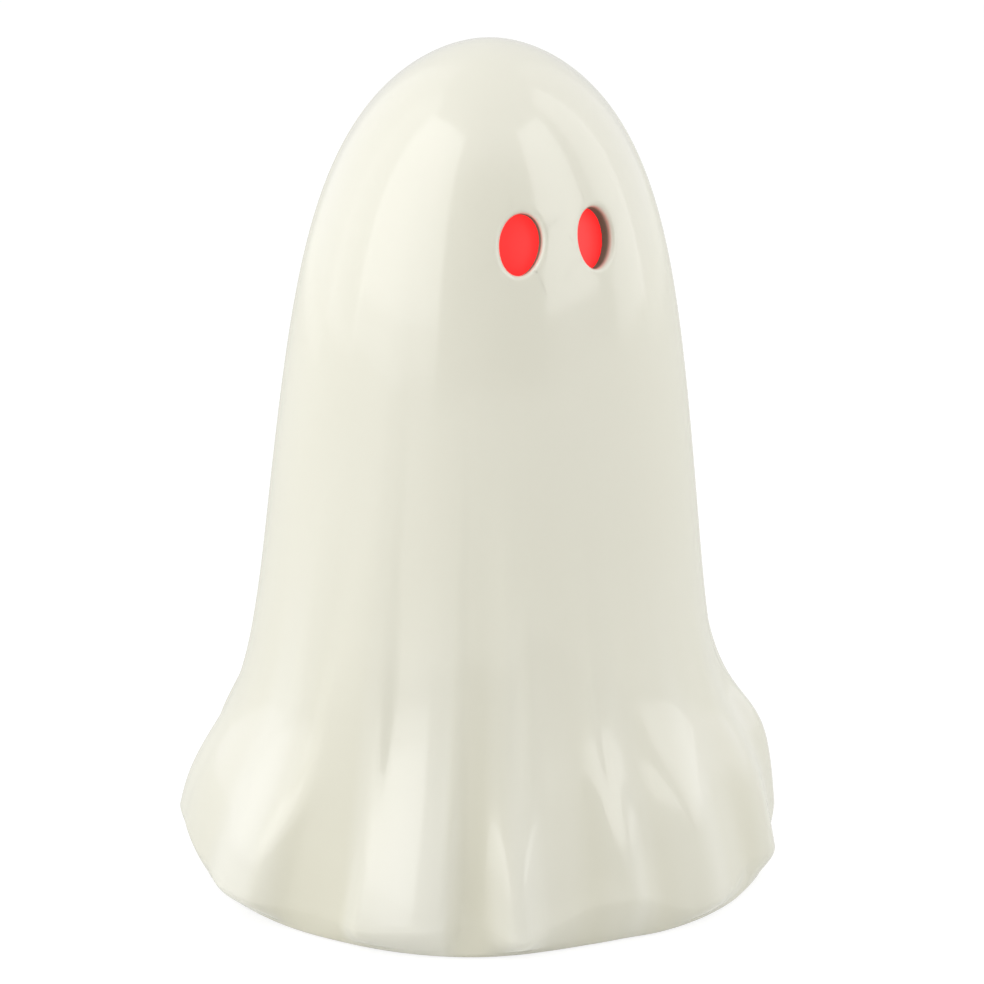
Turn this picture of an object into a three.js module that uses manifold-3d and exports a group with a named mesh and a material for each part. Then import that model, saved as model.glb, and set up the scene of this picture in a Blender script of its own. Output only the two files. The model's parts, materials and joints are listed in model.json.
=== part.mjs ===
// A light-up ghost: a glazed ceramic figure, slip cast like a draped sheet, over a plug-in light module.
// A red lens, a lamp cup and an LED sit behind each eye hole. Two leads run down to the module in the base.
// Millimetres, +Z up. The face looks along -Y, and the origin is on the table under the middle of the foot.
import * as THREE from "three";
import { mergeVertices } from "three/addons/utils/BufferGeometryUtils.js";
import Module from "manifold-3d";

const wasm = await Module();
wasm.setup();
const degree = Math.PI / 180;

// Ceramic body
const height = 201.3; // table to crown
const crownRadius = 39.9; // what the tapering body's radius runs down to
const bodyTaper = 20.3; // how much wider the body is at the table than that, without its skirt
const crownPower = 8.1; // a higher power gives squarer shoulders
const crownRounding = 0.539;
const headLean = 5.8; // the crown stands this far in front of the foot
const leanClimb = 1.3; // 1 is a straight lean, and more bends it forward higher up
const fan = 13 * degree; // how far the folds turn away from the fan's middle on their way down
const fanMiddle = -22 * degree;
const fanReach = 40;
const wall = 4;
const floorThickness = 4;
const footInner = 59;
const footDepth = 4.2; // how far the floor is set up inside the foot ring
const footEdge = 1; // the foot ring's chamfer
const hemRound = 2;
const innerFoldShare = 0.75; // casting softens the folds on the inside

// The skirt's drape, round from the face towards +X: crests, valleys and bends between them.
// at: degrees. out: how far it stands out. top: where it starts. hem: its hem above the table.
// foot: the foot ring's radius. flare: how far the skirt spreads there, half of it at the knee's height.
// soft: how gradual that is.
const drape = [
  { at: -25, out: -0.4, top: 120, hem: 5.6, foot: 69.9, flare: 11.6, knee: 36, soft: 15 },
  { at: -17, out: 2.5, top: 124, hem: 3.4, foot: 69, flare: 12.8, knee: 30, soft: 11 },
  { at: -11, out: 1.7, top: 112, hem: 5.6, foot: 68, flare: 11.2, knee: 36, soft: 16 },
  { at: -2, out: 0.2, top: 96, hem: 9, foot: 67.1, flare: 11.8, knee: 38, soft: 16 },
  { at: 4.5, out: 1.5, top: 96, hem: 9.9, foot: 67.1, flare: 11.8, knee: 37, soft: 12 },
  { at: 7, out: 2, top: 98, hem: 9.2, foot: 67.4, flare: 11.6, knee: 35, soft: 10 },
  { at: 13.5, out: 0.3, top: 88, hem: 6, foot: 68.6, flare: 11.4, knee: 38, soft: 13 },
  { at: 20, out: 1.1, top: 84, hem: 3.6, foot: 69, flare: 11, knee: 38, soft: 10 },
  { at: 27, out: 2.2, top: 82, hem: 4, foot: 69.2, flare: 11, knee: 37, soft: 8 },
  { at: 35, out: 0.7, top: 76, hem: 5, foot: 69.2, flare: 11.2, knee: 38, soft: 9 },
  { at: 42, out: -0.1, top: 74, hem: 6.4, foot: 69, flare: 11.2, knee: 38, soft: 10 },
  { at: 55, out: 2.6, top: 80, hem: 4.6, foot: 69.4, flare: 10.6, knee: 37, soft: 6.6 },
  { at: 64, out: 0.7, top: 80, hem: 8, foot: 68.8, flare: 11, knee: 39, soft: 6 },
  { at: 75, out: 2.1, top: 80, hem: 11, foot: 68.2, flare: 11.6, knee: 41.5, soft: 4.2 },
  { at: 91, out: 0, top: 90, hem: 7.6, foot: 68, flare: 11, knee: 40, soft: 10 },
  { at: 105, out: 2.8, top: 100, hem: 4.4, foot: 68.8, flare: 10.6, knee: 38, soft: 6.6 },
  { at: 122, out: -0.8, top: 104, hem: 8.4, foot: 68.2, flare: 11.6, knee: 38, soft: 12 },
  { at: 142, out: 2.7, top: 84, hem: 5, foot: 68.8, flare: 10.6, knee: 38, soft: 6.6 },
  { at: 156, out: -0.5, top: 98, hem: 7.8, foot: 68.2, flare: 11.4, knee: 38, soft: 12 },
  { at: 170, out: 2.9, top: 110, hem: 4.2, foot: 69, flare: 10.6, knee: 38, soft: 6.6 },
  { at: 184, out: -0.9, top: 110, hem: 8.6, foot: 68.2, flare: 11.6, knee: 38, soft: 13 },
  { at: 197, out: 2.7, top: 88, hem: 4.6, foot: 68.8, flare: 10.6, knee: 38, soft: 6.6 },
  { at: 208, out: -0.1, top: 90, hem: 7.6, foot: 68.2, flare: 11, knee: 38, soft: 10 },
  { at: 219, out: 2.6, top: 90, hem: 4.2, foot: 68.6, flare: 10.6, knee: 38, soft: 6.6 },
  { at: 229, out: -0.2, top: 80, hem: 8, foot: 67.8, flare: 11, knee: 35, soft: 8 },
  { at: 241, out: 2.8, top: 88, hem: 10.6, foot: 67.2, flare: 11.8, knee: 33.5, soft: 6.8 },
  { at: 250, out: 2.3, top: 88, hem: 11, foot: 67, flare: 11.2, knee: 34, soft: 7 },
  { at: 267, out: 0.9, top: 96, hem: 7.4, foot: 67, flare: 11.6, knee: 35, soft: 8 },
  { at: 280, out: 2.8, top: 120, hem: 5.6, foot: 67, flare: 13, knee: 29, soft: 9 },
  { at: 286, out: 2.5, top: 124, hem: 5.2, foot: 67.2, flare: 13, knee: 29, soft: 9.5 },
  { at: 294, out: -0.2, top: 128, hem: 4.6, foot: 67.6, flare: 12, knee: 36, soft: 20 },
  { at: 301, out: -0.9, top: 134, hem: 4, foot: 67.9, flare: 12.4, knee: 37, soft: 25 },
  { at: 306, out: -0.6, top: 134, hem: 3.8, foot: 68.1, flare: 12.4, knee: 36, soft: 22 },
  { at: 312, out: 1.6, top: 136, hem: 4, foot: 68.7, flare: 13.4, knee: 28.5, soft: 12 },
  { at: 325, out: 2.8, top: 134, hem: 5.8, foot: 69.8, flare: 13.4, knee: 27.5, soft: 12 },
  { at: 327.5, out: 2.7, top: 134, hem: 6, foot: 69.9, flare: 13, knee: 28.5, soft: 12.5 },
  { at: 331.5, out: -0.1, top: 122, hem: 6, foot: 70, flare: 11.8, knee: 35, soft: 16 },
];

// Eye holes, cut square to the wall
const eyeHeight = 160.9;
const eyeSpacing = 19; // between the eyes' middles
const eyeHalfWidth = 4.8;
const eyeHalfHeight = 7.05;
const eyeEgg = 0.05; // how much wider the upper half is
const eyeRoll = 10.5 * degree; // both eyes lean over to +X at the top
const eyeRim = 1.3; // the glazed rim's rounding

// Fits
const seat = 0.3; // gap between two pieces that touch
const slack = 0.3; // running gap of the door, the knob and the screws

// Eye lamps
const lensLip = 1.2; // how far the lens reaches past the hole
const lensThickness = 1.6;
const cupWall = 1;
const cupDepth = 13;
const cupTaper = 2.9;
const collarRadius = 4.4;
const collarLength = 4;
const ledRadius = 2.5;
const ledLength = 8.6;
const ledFlange = 3;
const ledFlangeThickness = 1;
const ledLegs = 3;
const ledLegWidth = 0.5;
const ledLegPitch = 2.54;
const leadRadius = 1.1;
const leadSides = 8;
const leadStep = 6;

// Battery bay: three AAA cells side by side
const cellRadius = 5.25;
const cellLength = 44.5;
const cellNub = 1;
const cellNubRadius = 1.9;
const cellCount = 3;
const cellGap = 0.6;
const contactThickness = 0.4;
const contactHalf = 4;
const tabHalf = 1.2; // the tabs that reach up to the board
const springLength = 5;
const springWire = 0.25; // radius
const springWide = 3.3;
const springNarrow = 2.1;
const springTurns = 3;

// Light module
const plastic = 1.6; // wall of the moulded pieces
const padProud = 0.3; // the pads' undersides lie this far below the foot's
const padHeight = 1;
const padRadius = 3.4;
const padCount = 4;
const padCircle = 63.1; // radius of the circle that the pads' middles lie on
const plateLift = 1.2; // the module's underside above the table
const doorThickness = 1.6;
const doorLedge = 0.7; // how far the door reaches past the bay's wall
const hingeBarrel = 1.2;
const hingePin = 0.7;
const hingePinLength = 1.6;
const hingeLug = 1.5;
const tongueLength = 8;
const tongueHalf = 5.5;
const tongueThickness = 2.4;
const gripWidth = 14;
const gripDepth = 0.6;
const gripPitch = 2.4;
const gripCount = 3;
const flangeReach = 5;
const grommetWall = 1.4;
const grommetLip = 2.8;
const chamber = 9.4; // space for the electronics between deck and cap
const boardThickness = 1.6;
const boardLift = 2.4;
const boardMargin = 1.7;
const pegRadius = 1.3;
const pegInset = 4;
const capScrewCount = 3;
const bossRadius = 3;
const screwShaft = 1.15;
const screwHead = 2.6;
const screwHeadHeight = 1.3;
const capScrewLength = 7;
const doorScrewLength = 2.7; // how far the door's screw bites into its boss
const chipHalfX = 2.5;
const chipHalfY = 2;
const chipThickness = 1.5;
const chipLegPitch = 1.27;
const chipLegHalf = 0.2;
const chipLegReach = 1;
const leadX = 8;
const leadY = -17;
const resistorX = 14;
const resistorY = -9;

// Slide switch, behind the battery bay
const switchHalfX = 6;
const switchHalfY = 3;
const switchHeight = 5;
const switchWall = 0.5;
const knobHalfX = 1.9;
const knobHalfY = 1.5;
const knobTravel = 3;
const knobBase = 1.6;
const pocketDepth = 2;
const pocketMargin = 3.2; // room for a fingertip round the knob
const pinHalf = 0.4;

// Heights and radii that follow from those
const hemTop = Math.max(...drape.map((point) => point.hem));
const footZ = padProud;
const floorUnder = footZ + footDepth;
const floorTop = floorUnder + floorThickness;
const cellPitch = 2 * cellRadius + cellGap;
const cellZ = plateLift + doorThickness + seat + cellRadius;
const bayHalfX = (cellLength + springLength) / 2 + contactThickness + 2 * seat;
const bayHalfY = (cellCount * cellPitch) / 2;
const deckUnder = cellZ + cellRadius + seat;
const deckTop = deckUnder + plastic;
const doorHalfY = bayHalfY + plastic + doorLedge;
const doorEndX = -(bayHalfX + plastic + doorLedge);
const hingeX = bayHalfX + plastic + hingeBarrel + 2 * slack;
const hingeZ = plateLift + hingeBarrel;
const pinEndY = doorHalfY + hingePinLength;
const screwX = doorEndX - tongueLength / 2 + 0.5;
const barrelInner = Math.hypot(hingeX + hingeBarrel + slack, pinEndY + slack + hingeLug);
const barrelOuter = barrelInner + plastic;
const flangeRadius = barrelOuter + flangeReach;
const grommetInner = barrelOuter + seat;
const baseHole = grommetInner + grommetWall + seat;
const barrelTop = deckTop + chamber;
const capUnder = barrelTop + seat;
const capTop = capUnder + plastic;
const boardUnder = deckTop + boardLift;
const boardTop = boardUnder + boardThickness;
const switchY = (bayHalfY + plastic + barrelInner) / 2;
const pocketFloor = plateLift + pocketDepth;
const switchUnder = pocketFloor + plastic + seat;
const switchTop = switchUnder + switchHeight;
const tabTop = boardTop + 0.8;
const knobOn = -knobTravel / 2; // the lamp is lit at rest
const bossCircle = barrelInner - bossRadius + plastic / 2;
const boardRadius = bossCircle - bossRadius - boardMargin;
const pegReach = (boardRadius - pegInset) * Math.SQRT1_2;

// Turning and joining

// Turns a profile of [radius, height] points about Z, starting at the front and going towards +X.
function turned(profile, segments = 32) {
  const points = profile.map(([r, z]) => new THREE.Vector2(r, z));
  return new THREE.LatheGeometry(points, segments).rotateX(Math.PI / 2);
}

function disc(radius, bottom, top, segments = 32) {
  return turned([[0, bottom], [radius, bottom], [radius, top], [0, top]], segments);
}

function ring(inner, outer, bottom, top, segments = 40) {
  return turned([[inner, bottom], [outer, bottom], [outer, top], [inner, top], [inner, bottom]], segments);
}

function block(x0, x1, y0, y1, z0, z1) {
  const box = new THREE.BoxGeometry(x1 - x0, y1 - y0, z1 - z0);
  return box.translate((x0 + x1) / 2, (y0 + y1) / 2, (z0 + z1) / 2);
}

// A solid round bar along a curve.
function tube(path, radius, sides, steps) {
  const corners = Array.from({ length: sides }, (_, i) => {
    const turn = (i / sides) * 2 * Math.PI;
    return new THREE.Vector2(radius * Math.cos(turn), radius * Math.sin(turn));
  });
  return new THREE.ExtrudeGeometry(new THREE.Shape(corners), { steps, extrudePath: path });
}

// A closed geometry as a solid that can be joined and cut.
function solid(geometry) {
  const bare = geometry.clone();
  bare.deleteAttribute("normal");
  bare.deleteAttribute("uv");
  const merged = mergeVertices(bare, 1e-4);
  const mesh = new wasm.Mesh({
    numProp: 3,
    vertProperties: merged.attributes.position.array,
    triVerts: new Uint32Array(merged.index.array),
  });
  return new wasm.Manifold(mesh);
}

function joined(first, ...rest) {
  return rest.reduce((whole, geometry) => whole.add(solid(geometry)), solid(first));
}

function cut(whole, ...cutters) {
  return cutters.reduce((left, geometry) => left.subtract(solid(geometry)), whole);
}

function geometryOf(manifold) {
  const { numProp, vertProperties, triVerts } = manifold.getMesh();
  const positions = new Float32Array((vertProperties.length / numProp) * 3);
  for (let i = 0; i < positions.length / 3; i++) {
    positions.set(vertProperties.subarray(i * numProp, i * numProp + 3), i * 3);
  }
  const geometry = new THREE.BufferGeometry();
  geometry.setAttribute("position", new THREE.BufferAttribute(positions, 3));
  geometry.setIndex(new THREE.BufferAttribute(triVerts, 1));
  return geometry;
}

// The draped body's surface

function lean(z) {
  return headLean * (Math.max(z, 0) / height) ** leanClimb;
}

// The radius without the skirt.
function bodyRadius(z) {
  const up = Math.min(Math.max(z / height, 0), 1);
  return (crownRadius + bodyTaper * (1 - up)) * (1 - up ** crownPower) ** crownRounding;
}

function degreesOn(from, to) {
  return (((to - from) % 360) + 360) % 360;
}

// How a measure changes per degree at each point of the drape: not at all at a crest or a valley.
function bends(measure) {
  const rises = drape.map((point, i) => {
    const next = drape[(i + 1) % drape.length];
    return (next[measure] - point[measure]) / degreesOn(point.at, next.at);
  });
  return rises.map((after, i) => {
    const before = rises.at(i - 1);
    return before * after > 0 ? (2 * before * after) / (before + after) : 0;
  });
}

const bendsOf = Object.fromEntries(
  ["out", "top", "hem", "foot", "flare", "knee", "soft"].map((measure) => [measure, bends(measure)]),
);

// A measure of the drape at an angle, on a smooth curve through its points.
function drapeAt(angle, measure) {
  const past = degreesOn(drape[0].at, angle / degree);
  const next = drape.findIndex((point) => point.at - drape[0].at > past);
  const [near, far] = next < 0 ? [drape.length - 1, 0] : [next - 1, next];
  const gap = degreesOn(drape[near].at, drape[far].at);
  const share = (past + drape[0].at - drape[near].at) / gap;
  const [start, end] = [drape[near][measure], drape[far][measure]];
  const leaving = bendsOf[measure][near] * gap * share * (1 - share) ** 2;
  const arriving = bendsOf[measure][far] * gap * share * share * (share - 1);
  return start + (end - start) * share * share * (3 - 2 * share) + leaving + arriving;
}

// How far the sheet stands outside the plain body: the fold and its flare.
function skirtOut(angle, z, foldShare) {
  const fanned = angle + fan * Math.sin(angle - fanMiddle) * (1 - Math.exp(-z / fanReach));
  const up = Math.min(z / drapeAt(fanned, "top"), 1);
  const fold = drapeAt(fanned, "out") * (1 - up * up * (3 - 2 * up));
  const knee = (z - drapeAt(fanned, "knee")) / drapeAt(fanned, "soft");
  return foldShare * fold + drapeAt(fanned, "flare") / (1 + Math.exp(knee));
}

function hemHeight(angle) {
  return drapeAt(angle, "hem");
}

function footRadius(angle) {
  return drapeAt(angle, "foot");
}

// A point's [radius, height] on the outer surface, moved in by a depth square to its slope.
function skin(angle, z, depth = 0, foldShare = 1) {
  const radius = bodyRadius(z) + skirtOut(angle, z, foldShare);
  if (depth === 0) return [radius, z];
  const step = 0.5;
  const slope = (radius - bodyRadius(z - step) - skirtOut(angle, z - step, foldShare)) / step;
  const along = Math.hypot(slope, 1);
  return [Math.max(radius - depth / along, 0), z + (depth * slope) / along];
}

// Angles round the body: the drape's own points, with even steps between them of this many degrees at most.
function columnAngles(largest) {
  return drape.flatMap((point, i) => {
    const gap = degreesOn(point.at, drape[(i + 1) % drape.length].at);
    const steps = Math.ceil(gap / largest);
    return Array.from({ length: steps }, (_, k) => (point.at + (gap * k) / steps) * degree);
  });
}

// A turned blank, pressed row by row into its draped place: a row gives [radius, height] for an angle.
function draped(rows, largestStep) {
  const angles = columnAngles(largestStep);
  const blank = turned(rows.map((row) => row(0)), angles.length);
  const position = blank.attributes.position;
  for (let i = 0; i < position.count; i++) {
    const angle = angles[Math.floor(i / rows.length) % angles.length];
    const [radius, z] = rows[i % rows.length](angle);
    position.setXYZ(i, radius * Math.sin(angle), -radius * Math.cos(angle) - lean(z), z);
  }
  return blank;
}

// Heights of the rows above the hem: close on the skirt, wide on the plain body, and close over the crown.
function rowHeights(bottom, top, skirtRows, bodyRows, crownRows) {
  const skirtTop = Math.min(bottom + 66, top * 0.5);
  const crownBottom = top * 0.72;
  const heights = [];
  for (let i = 0; i < skirtRows; i++) heights.push(bottom + ((skirtTop - bottom) * i) / skirtRows);
  for (let i = 0; i < bodyRows; i++) heights.push(skirtTop + ((crownBottom - skirtTop) * i) / bodyRows);
  for (let i = 0; i < crownRows; i++) {
    const left = 1 - i / crownRows;
    heights.push(top - (top - crownBottom) * left * left);
  }
  return heights;
}

// A point of the hem's soft turn under the skirt, from the foot's edge, at 0, to the outside, at 1.
function hemTuck(angle, share) {
  const hem = hemHeight(angle);
  const low = new THREE.Vector2(footRadius(angle), footZ + footEdge);
  const high = new THREE.Vector2(...skin(angle, hem + hemRound));
  const corner = new THREE.Vector2(high.x, hem);
  const pulls = [low.clone().lerp(corner, 0.6), high.clone().lerp(corner, 0.85)];
  const point = new THREE.CubicBezierCurve(low, ...pulls, high).getPoint(share);
  return [point.x, point.y];
}

function bodySolid() {
  const skirtBottom = hemTop + 2 * hemRound;
  const rows = [
    () => [0, floorUnder],
    () => [footInner - footDepth / 2, floorUnder],
    () => [footInner, footZ],
    (angle) => [footRadius(angle) - footEdge, footZ],
    ...[0, 0.3, 0.55, 0.78, 1].map((share) => (angle) => hemTuck(angle, share)),
    ...rowHeights(skirtBottom, height, 9, 3, 8).map((z) => (angle) => skin(angle, z)),
    () => [0, height],
  ];
  return solid(draped(rows, 4.6));
}

// The space inside the wall. Extra makes it smaller all round, for what has to fit against the wall.
function hollowSolid(extra) {
  const depth = wall + extra;
  const bottom = floorTop + extra;
  const inside = (z) => (angle) => {
    const [radius, level] = skin(angle, z, depth, innerFoldShare);
    return [radius, Math.max(level, bottom)];
  };
  const rows = [
    () => [0, bottom],
    (angle) => [footRadius(angle) - depth, bottom],
    ...rowHeights(hemTop + depth, height, 5, 2, 6).map(inside),
    () => [0, height - depth],
  ];
  return solid(draped(rows, 8));
}

// Eyes

// Turns a profile about Z into the eye's egg: its radii are taken across the eye, and the height follows.
function eggTurned(profile, segments = 24) {
  const geometry = turned(profile, segments);
  const position = geometry.attributes.position;
  for (let i = 0; i < position.count; i++) {
    const radius = Math.hypot(position.getX(i), position.getY(i));
    if (radius < 1e-6) continue;
    const across = position.getX(i) / radius;
    const up = position.getY(i) / radius;
    const normal = new THREE.Vector2(across / eyeHalfWidth, up / eyeHalfHeight).normalize();
    const offset = radius - eyeHalfWidth;
    position.setX(i, eyeHalfWidth * across * (1 + eyeEgg * up) + offset * normal.x);
    position.setY(i, eyeHalfHeight * up + offset * normal.y);
  }
  return geometry;
}

function surfacePoint(angle, z) {
  const [radius] = skin(angle, z);
  return new THREE.Vector3(radius * Math.sin(angle), -radius * Math.cos(angle) - lean(z), z);
}

// The place of an eye: its own X runs across the eye, Y up it and Z straight out of the wall.
function eyePlace(side) {
  const angle = side * Math.asin(eyeSpacing / 2 / skin(0, eyeHeight)[0]);
  const centre = surfacePoint(angle, eyeHeight);
  const across = surfacePoint(angle + 0.01, eyeHeight).sub(surfacePoint(angle - 0.01, eyeHeight));
  const upward = surfacePoint(angle, eyeHeight + 0.5).sub(surfacePoint(angle, eyeHeight - 0.5));
  const out = new THREE.Vector3().crossVectors(across, upward).normalize();
  const right = across.normalize();
  const up = new THREE.Vector3().crossVectors(out, right);
  const rolled = new THREE.Matrix4().makeRotationZ(-eyeRoll);
  return new THREE.Matrix4().makeBasis(right, up, out).multiply(rolled).setPosition(centre);
}

function eyeHole(side) {
  const rim = [];
  for (let i = 0; i <= 3; i++) {
    const turn = (i / 3) * 90 * degree;
    rim.push([eyeHalfWidth + eyeRim * (1 - Math.cos(turn)), -eyeRim * (1 - Math.sin(turn))]);
  }
  const depth = wall + 4;
  const profile = [[0, -depth], [eyeHalfWidth, -depth], ...rim, [eyeHalfWidth + eyeRim, depth], [0, depth]];
  return eggTurned(profile, 32).applyMatrix4(eyePlace(side));
}

function ghostShell() {
  const opening = disc(baseHole, footZ, floorTop + wall, 40);
  const holes = [eyeHole(-1), eyeHole(1)];
  const pockets = Array.from({ length: padCount }, (_, i) => footPad(i, seat));
  return cut(bodySolid().subtract(hollowSolid(0)), opening, ...holes, ...pockets);
}

const lensBack = -(wall + seat + lensThickness);
const cupBack = -(wall + cupDepth);

function eyeLens(side) {
  const radius = eyeHalfWidth + lensLip;
  const blank = eggTurned([[0, lensBack], [radius, lensBack], [radius, 0], [0, 0]]);
  return solid(blank.applyMatrix4(eyePlace(side))).intersect(hollowSolid(seat));
}

// A tapered cup: the lens sits in its mouth against the ceramic, and a collar at the back holds the LED.
function eyeCup(side) {
  const pocket = eyeHalfWidth + lensLip + seat;
  const ledge = lensBack - seat;
  const mouth = pocket + cupWall;
  const backWidth = mouth - cupTaper;
  const back = cupBack + 1;
  const outside = eggTurned([[0, back], [backWidth, back], [mouth, ledge], [mouth, 0], [0, 0]]);
  const lensPocket = eggTurned([[0, ledge], [pocket, ledge], [pocket, 1], [0, 1]]);
  const cone = eggTurned([
    [0, cupBack + collarLength],
    [backWidth - cupWall, cupBack + collarLength],
    [pocket - cupWall, ledge + 1],
    [0, ledge + 1],
  ]);
  const collar = disc(collarRadius, cupBack, cupBack + collarLength, 16);
  const bore = disc(ledRadius + seat, cupBack - 1, cupBack + collarLength + 1, 16);
  const cup = cut(joined(outside, collar), lensPocket, cone, bore);
  return solid(geometryOf(cup).applyMatrix4(eyePlace(side))).intersect(hollowSolid(seat));
}

function eyeLed(side) {
  const base = cupBack - seat - ledFlangeThickness;
  const shoulder = base + ledLength - ledRadius;
  const dome = [];
  for (let i = 0; i < 3; i++) {
    const turn = i * 30 * degree;
    dome.push([ledRadius * Math.cos(turn), shoulder + ledRadius * Math.sin(turn)]);
  }
  dome.push([0, shoulder + ledRadius]);
  const step = base + ledFlangeThickness;
  const body = turned([[0, base], [ledFlange, base], [ledFlange, step], [ledRadius, step], ...dome], 16);
  const legs = [-1, 1].map((end) => {
    const x = (end * ledLegPitch) / 2;
    const half = ledLegWidth / 2;
    return block(x - half, x + half, -half, half, base - ledLegs, base + 0.5);
  });
  return solid(geometryOf(joined(body, ...legs)).applyMatrix4(eyePlace(side)));
}

// The two-core lead from an LED down to the circuit board, through its hole in the cap.
function eyeLead(side) {
  const place = eyePlace(side);
  const start = cupBack - 2 * seat - ledFlangeThickness - ledLegs;
  const behind = (depth) => new THREE.Vector3(0, 0, start - depth).applyMatrix4(place);
  const route = [
    behind(0),
    behind(4),
    new THREE.Vector3(side * leadX * 0.9, leadY * 0.62, eyeHeight * 0.88),
    new THREE.Vector3(side * leadX * 1.3, leadY * 0.8, eyeHeight * 0.66),
    new THREE.Vector3(side * leadX * 0.8, leadY, eyeHeight * 0.42),
    new THREE.Vector3(side * leadX, leadY, capTop + 12),
    new THREE.Vector3(side * leadX, leadY, capTop),
    new THREE.Vector3(side * leadX, leadY, boardTop + seat),
  ];
  const path = new THREE.CatmullRomCurve3(route, false, "centripetal");
  return solid(tube(path, leadRadius, leadSides, Math.round(path.getLength() / leadStep)));
}

// Base: pads, grommet and the light module

// A pad, or with room round it the pocket that takes it, let into the foot's underside.
function footPad(index, room) {
  const angle = ((index + 0.5) / padCount) * 2 * Math.PI;
  const pad = disc(padRadius + room, 0, padHeight + room, 16);
  return pad.translate(padCircle * Math.sin(angle), -padCircle * Math.cos(angle), 0);
}

// A soft ring with a groove for the ceramic floor's edge. The module is pushed up into it.
function baseGrommet() {
  const grooveRadius = baseHole - seat;
  const lip = baseHole + grommetLip;
  const low = floorUnder - seat;
  const high = floorTop + seat;
  const profile = [
    [grommetInner, low - grommetWall],
    [lip, low - grommetWall],
    [lip, low],
    [grooveRadius, low],
    [grooveRadius, high],
    [lip, high],
    [lip, high + grommetWall],
    [grommetInner, high + grommetWall],
    [grommetInner, low - grommetWall],
  ];
  return solid(turned(profile, 40));
}

function capBossPlaces() {
  return Array.from({ length: capScrewCount }, (_, i) => {
    const angle = (i / capScrewCount) * 2 * Math.PI + Math.PI / 2;
    return [bossCircle * Math.sin(angle), -bossCircle * Math.cos(angle)];
  });
}

function pegPlaces() {
  return [[-pegReach, -pegReach], [pegReach, -pegReach], [-pegReach, pegReach], [pegReach, pegReach]];
}

// Housing: a flanged cup with a deck across it. Cells and switch sit under the deck, and the board on it.
function moduleHousing() {
  const flangeTop = floorUnder - 2 * seat - grommetWall;
  const slotX = knobTravel / 2 + knobHalfX + slack;
  const slotY = knobHalfY + slack;
  const pocketX = slotX + pocketMargin;
  const pocketY = slotY + pocketMargin;
  const lugEnd = pinEndY + slack + hingeLug;
  const lugX = hingeBarrel + 2 * slack;
  const lugTop = hingeZ + hingeBarrel + plastic;
  const bossBottom = plateLift + tongueThickness + slack;
  const bodyWork = joined(
    disc(flangeRadius, plateLift, flangeTop, 40),
    ring(barrelInner, barrelOuter, plateLift, barrelTop),
    disc(barrelInner + plastic / 2, deckUnder, deckTop, 40),
    block(-pocketX - plastic, pocketX + plastic, switchY - pocketY - plastic, switchY + pocketY + plastic,
      plateLift, pocketFloor + plastic),
  );
  const openings = [
    block(doorEndX - slack, hingeX, -doorHalfY - slack, doorHalfY + slack, 0, flangeTop + 0.01),
    block(hingeX - 1, hingeX + hingeBarrel + slack, -doorHalfY - slack, doorHalfY + slack,
      0, flangeTop + 0.01),
    block(doorEndX - tongueLength - slack, doorEndX, -tongueHalf - slack, tongueHalf + slack,
      0, flangeTop + 0.01),
    block(-pocketX, pocketX, switchY - pocketY, switchY + pocketY, 0, pocketFloor),
    block(-slotX, slotX, switchY - slotY, switchY + slotY, 0, pocketFloor + plastic + 1),
  ];
  const bayX = bayHalfX + plastic;
  const bayY = bayHalfY + plastic;
  const bayBottom = plateLift + doorThickness + slack;
  const bay = joined(block(-bayX, bayX, -bayY, bayY, bayBottom, deckTop))
    .subtract(solid(block(-bayHalfX, bayHalfX, -bayHalfY, bayHalfY, 0, deckUnder)));
  const doorBoss = block(screwX - bossRadius, screwX + bossRadius, -bossRadius, bossRadius,
    bossBottom, deckTop);
  let housing = cut(bodyWork, ...openings).add(bay).add(solid(doorBoss));
  for (const end of [-1, 1]) {
    const y = end * doorHalfY;
    const [near, far] = [y + end * slack, end * lugEnd].sort((a, b) => a - b);
    housing = housing.add(solid(block(hingeX - lugX, hingeX + lugX, near, far, plateLift, lugTop)));
    const socket = disc(hingePin + slack, 0, hingePinLength + slack + 1, 16).rotateX(-end * 90 * degree);
    housing = cut(housing, socket.translate(hingeX, y - end, hingeZ));
  }
  for (const [x, y] of capBossPlaces()) {
    housing = housing.add(solid(disc(bossRadius, deckUnder, barrelTop, 16).translate(x, y, 0)));
    const screwHole = disc(screwShaft + seat, barrelTop - capScrewLength, barrelTop + 1, 12);
    housing = cut(housing, screwHole.translate(x, y, 0));
  }
  for (const [x, y] of pegPlaces()) {
    housing = housing.add(solid(disc(2 * pegRadius, deckUnder, boardUnder - seat, 16).translate(x, y, 0)));
    housing = housing.add(solid(disc(pegRadius, deckUnder, boardTop + 1, 12).translate(x, y, 0)));
  }
  const screwHole = disc(screwShaft + seat, 0, bossBottom + doorScrewLength + 1, 12).translate(screwX, 0, 0);
  return cut(housing, screwHole, ...throughSlots(deckUnder - 1, deckTop + 1));
}

// The slots that the contacts' tabs and the switch's pins pass through, from one height to another.
function throughSlots(bottom, top) {
  const tabX = bayHalfX - seat - contactThickness / 2;
  const halfX = contactThickness / 2 + seat;
  const halfY = tabHalf + seat;
  const tabs = tabPlaces().map(({ end, y }) =>
    block(end * tabX - halfX, end * tabX + halfX, y - halfY, y + halfY, bottom, top));
  const reach = pinHalf + seat;
  const pins = pinPlaces().map((x) =>
    block(x - reach, x + reach, switchY - reach, switchY + reach, bottom, top));
  return [...tabs, ...pins];
}

function tabPlaces() {
  return [{ end: -1, y: rowY(0) }, { end: 1, y: rowY(cellCount - 1) }];
}

function pinPlaces() {
  return [-1, 0, 1].map((place) => place * (switchHalfX / 2));
}

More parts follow.
